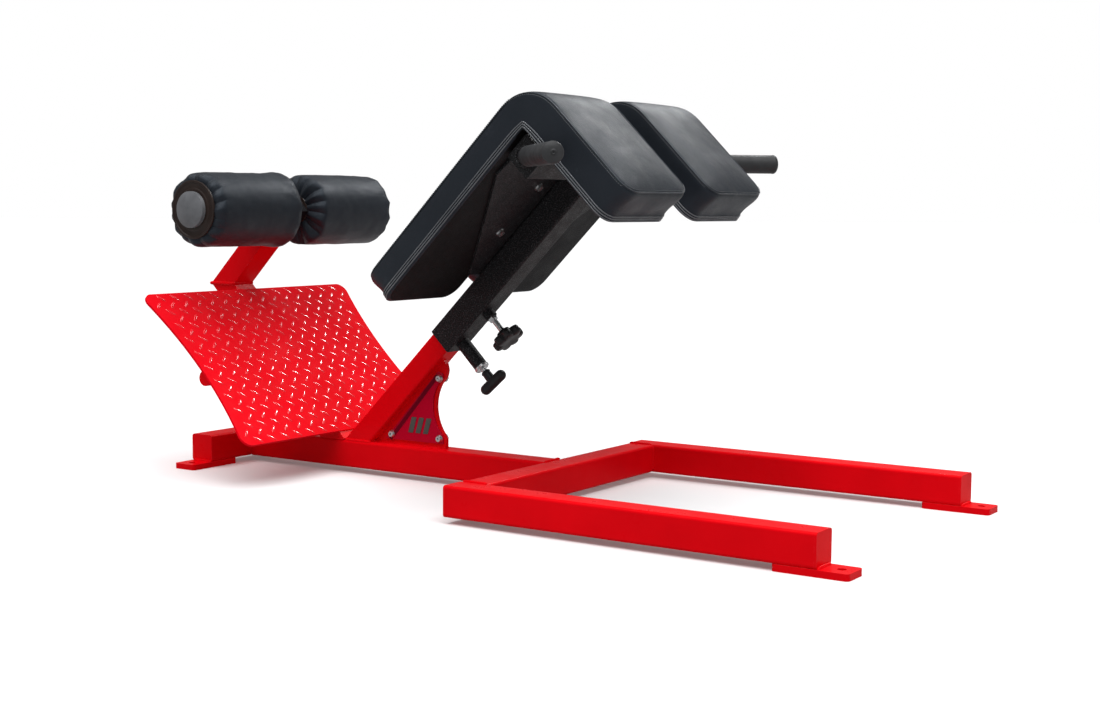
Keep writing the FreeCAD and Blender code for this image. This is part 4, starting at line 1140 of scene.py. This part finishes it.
def build_grips():
    """Smooth rubber grips with a domed end, a dimple and a fine mould line."""
    grip, bar, reach = 0.0195, 0.0161, 0.247
    start = grip + 0.0025
    for name, side in (("left", 1), ("right", -1)):
        root, axis = handle_root(side)
        profile = [(bar, start), (grip - 0.0015, start), (grip - 0.0002, start + 0.0014),
                   (grip, start + 0.003)]
        profile += [(grip, start + 0.003 + (reach - 0.016 - start) * k / 8) for k in range(1, 9)]
        profile += [(grip + 0.0004, reach - 0.0120), (grip + 0.0004, reach - 0.0105)]
        for k in range(1, 9):
            angle = k / 9 * pi / 2
            profile.append((grip * cos(angle) + 0.0004, reach - 0.0098 + 0.0092 * sin(angle)))
        profile += [(0.0040, reach), (0.0026, reach - 0.0012), (0.0006, reach - 0.0014),
                    (0.0006, reach - 0.013), (bar, reach - 0.013)]
        shape = lathe(profile, root, axis, segments=72)
        piece = make_piece(name + "_grip_sleeve", shape, GRIP, "carriage")
        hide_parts(name + "_handle_grip")


def build_badge():
    """Plain badge: a sloped dark strip of painted shade along its slope, under the upright, and three slanted
    bars in place of any lettering.
    """
    low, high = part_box("badge_plate")
    face = low.y
    parts = []
    wide, tall, lean, step = 0.013, 0.034, 0.010, 0.020
    left, base = low.x + 0.062, low.z + 0.018
    for k in range(3):
        x = left + k * step
        outline = [(x, base), (x + wide, base), (x + wide + lean, base + tall), (x + lean, base + tall)]
        outline = rounded(outline, 0.0015, 3)
        front = [Vector((px, face - 0.0010, pz)) for px, pz in outline]
        back = [Vector((px, face + 0.0004, pz)) for px, pz in outline]
        parts.append(loft([back, front]))
    make_piece("badge_bars", merge(parts), INLAY, "frame", smooth=False)
    # painted shade: a sloped dark strip along the slope, where the upright's shade falls on the badge
    a = Vector((low.x + 0.010, 0, low.z + 0.0025))
    b = Vector((high.x - 0.018, 0, high.z - 0.0060))
    along = (b - a).normalized()
    inward = Vector((along.z, 0, -along.x))
    rings = []
    for t in (0.0, 1.0):
        p = a.lerp(b, t)
        rings.append([Vector((q.x, y, q.z)) for q, y in
                      ((p, face + 0.0005), (p, face - 0.0018), (p + inward * 0.0085, face - 0.0006),
                       (p + inward * 0.0085, face + 0.0005))])
    make_piece("badge_painted_shade_strip", loft(rings), BADGE_PAINTED_SHADE, "frame", smooth=False)


def build_screw_thread():
    """Thread ridges on the lock screw's visible stretch, and the nut they run into."""
    pitch, radius, turns = 0.0015, 0.00585, 21
    points = [incline(LOCK_U, 0, THREAD_START - pitch * k / 24) + under_sleeve(2 * pi * k / 24) * radius
              for k in range(turns * 24 + 1)]
    make_piece("lock_screw_thread", tube(points, 0.00036, sides=5), ZINC, "lock_knob")
    # welded hexagon nut at the boss's mouth
    near, far = -0.0445, -0.0505
    rings = []
    for w, radius in ((near, 0.01048), (near - 0.0006, 0.0108), (far + 0.0006, 0.0108), (far, 0.01026),
                      (far, 0.0072), (near, 0.0072)):
        rings.append([incline(LOCK_U, 0, w) + under_sleeve(k * pi / 3) * radius for k in range(6)])
    make_piece("lock_nut", loft(rings, closed=True), ZINC, "carriage", smooth=False)


# ------------------------------------------------------------------ stage, lights and camera
WORLD_LIGHT = 0.27


BOUNCE = 0.42                   # the floor throws less light back than it shows to the eye


def camera_sees(tree, seen, unseen, output):
    """The camera sees one shader while all other rays meet the other."""
    ray = tree.nodes.new("ShaderNodeLightPath")
    chooser = tree.nodes.new("ShaderNodeMixShader")
    sources = (ray.outputs["Is Camera Ray"], unseen.outputs[0], seen.outputs[0])
    for source, socket in zip(sources, chooser.inputs):
        tree.links.new(source, socket)
    tree.links.new(chooser.outputs[0], tree.nodes[output].inputs["Surface"])


def build_stage():
    """A pale floor just under the feet."""
    size = 60.0
    corners = [(x * size, y * size, -0.0002) for x, y in ((-1, -1), (1, -1), (1, 1), (-1, 1))]
    mesh = bpy.data.meshes.new("studio_floor")
    mesh.from_pydata(corners, [], [(0, 1, 2, 3)])
    n = Nodes("pale_floor")
    n.colour(n.blend_colours(n.noise(1.3, 3.0), (0.80, 0.80, 0.805), (0.84, 0.84, 0.845)))
    n.set(Roughness=0.7, Specular_IOR_Level=0.1)
    dim = n.add("ShaderNodeBsdfDiffuse")
    dim.inputs["Color"].default_value = (BOUNCE, BOUNCE, BOUNCE, 1)
    camera_sees(n.tree, n.shader, dim, "Material Output")
    mesh.materials.append(n.material)
    floor_piece = bpy.data.objects.new("studio_floor", mesh)
    SCENE.collection.objects.link(floor_piece)


def hang(lamp, place, towards):
    """Puts a lamp in the scene, pointing along a direction."""
    item = bpy.data.objects.new(lamp.name, lamp)
    item.location = place
    item.rotation_mode = "QUATERNION"
    item.rotation_quaternion = Vector(towards).to_track_quat("-Z", "Y")
    SCENE.collection.objects.link(item)


def area_light(name, place, target, size, power, shadow=True):
    lamp = bpy.data.lights.new(name, "AREA")
    lamp.size = size
    lamp.energy = power
    lamp.use_shadow = shadow
    hang(lamp, place, Vector(target) - Vector(place))


def build_lights():
    """White backdrop, broad light from above, a softbox and a glint on the tread."""
    world = bpy.data.worlds.new("studio")
    world.use_nodes = True
    tree = world.node_tree
    light = tree.nodes["Background"]
    backdrop = tree.nodes.new("ShaderNodeBackground")
    for node, strength in ((light, WORLD_LIGHT), (backdrop, 1.0)):
        node.inputs["Color"].default_value = (1.0, 1.0, 1.0, 1)
        node.inputs["Strength"].default_value = strength
    camera_sees(tree, backdrop, light, "World Output")
    SCENE.world = world
    sun = bpy.data.lights.new("broad_overhead", "SUN")
    sun.energy, sun.angle = 3.6, radians(75)
    hang(sun, (0, 0, 0), (-0.10, 0.22, -1.0))
    area_light("front_softbox", (1.9, -1.4, 2.9), (0.2, 0, 0.5), 0.9, 14)
    area_light("tread_glint", (-0.25, 2.95, 2.95), (-0.6, 0, 0.25), 0.55, 40, shadow=False)
    SCENE.view_settings.view_transform = "Standard"


def build_camera():
    """The photo's viewpoint."""
    camera_data = bpy.data.cameras.new("camera")
    camera_data.sensor_width = 36.0
    camera_data.lens = 52.90
    camera_data.shift_x, camera_data.shift_y = 0.0187, -0.0082
    camera_data.clip_start, camera_data.clip_end = 0.05, 60
    camera = bpy.data.objects.new("camera", camera_data)
    camera.location = (1.85289, -2.72190, 0.58820)
    right = Vector((0.82737, 0.56163, 0.00556)).normalized()
    ahead = Vector((-0.55905, 0.82444, -0.08809))
    ahead = (ahead - right * ahead.dot(right)).normalized()
    up = right.cross(ahead)
    camera.rotation_mode = "QUATERNION"
    camera.rotation_quaternion = Matrix((right, up, -ahead)).transposed().to_quaternion()
    SCENE.collection.objects.link(camera)
    SCENE.camera = camera


dress_cad_nodes()
build_pads()
build_rollers()
build_post_buffer()
build_tread()
build_welds()
build_star_knob()
build_tee_handle()
build_grips()
build_badge()
build_screw_thread()
build_stage()
build_lights()
build_camera()
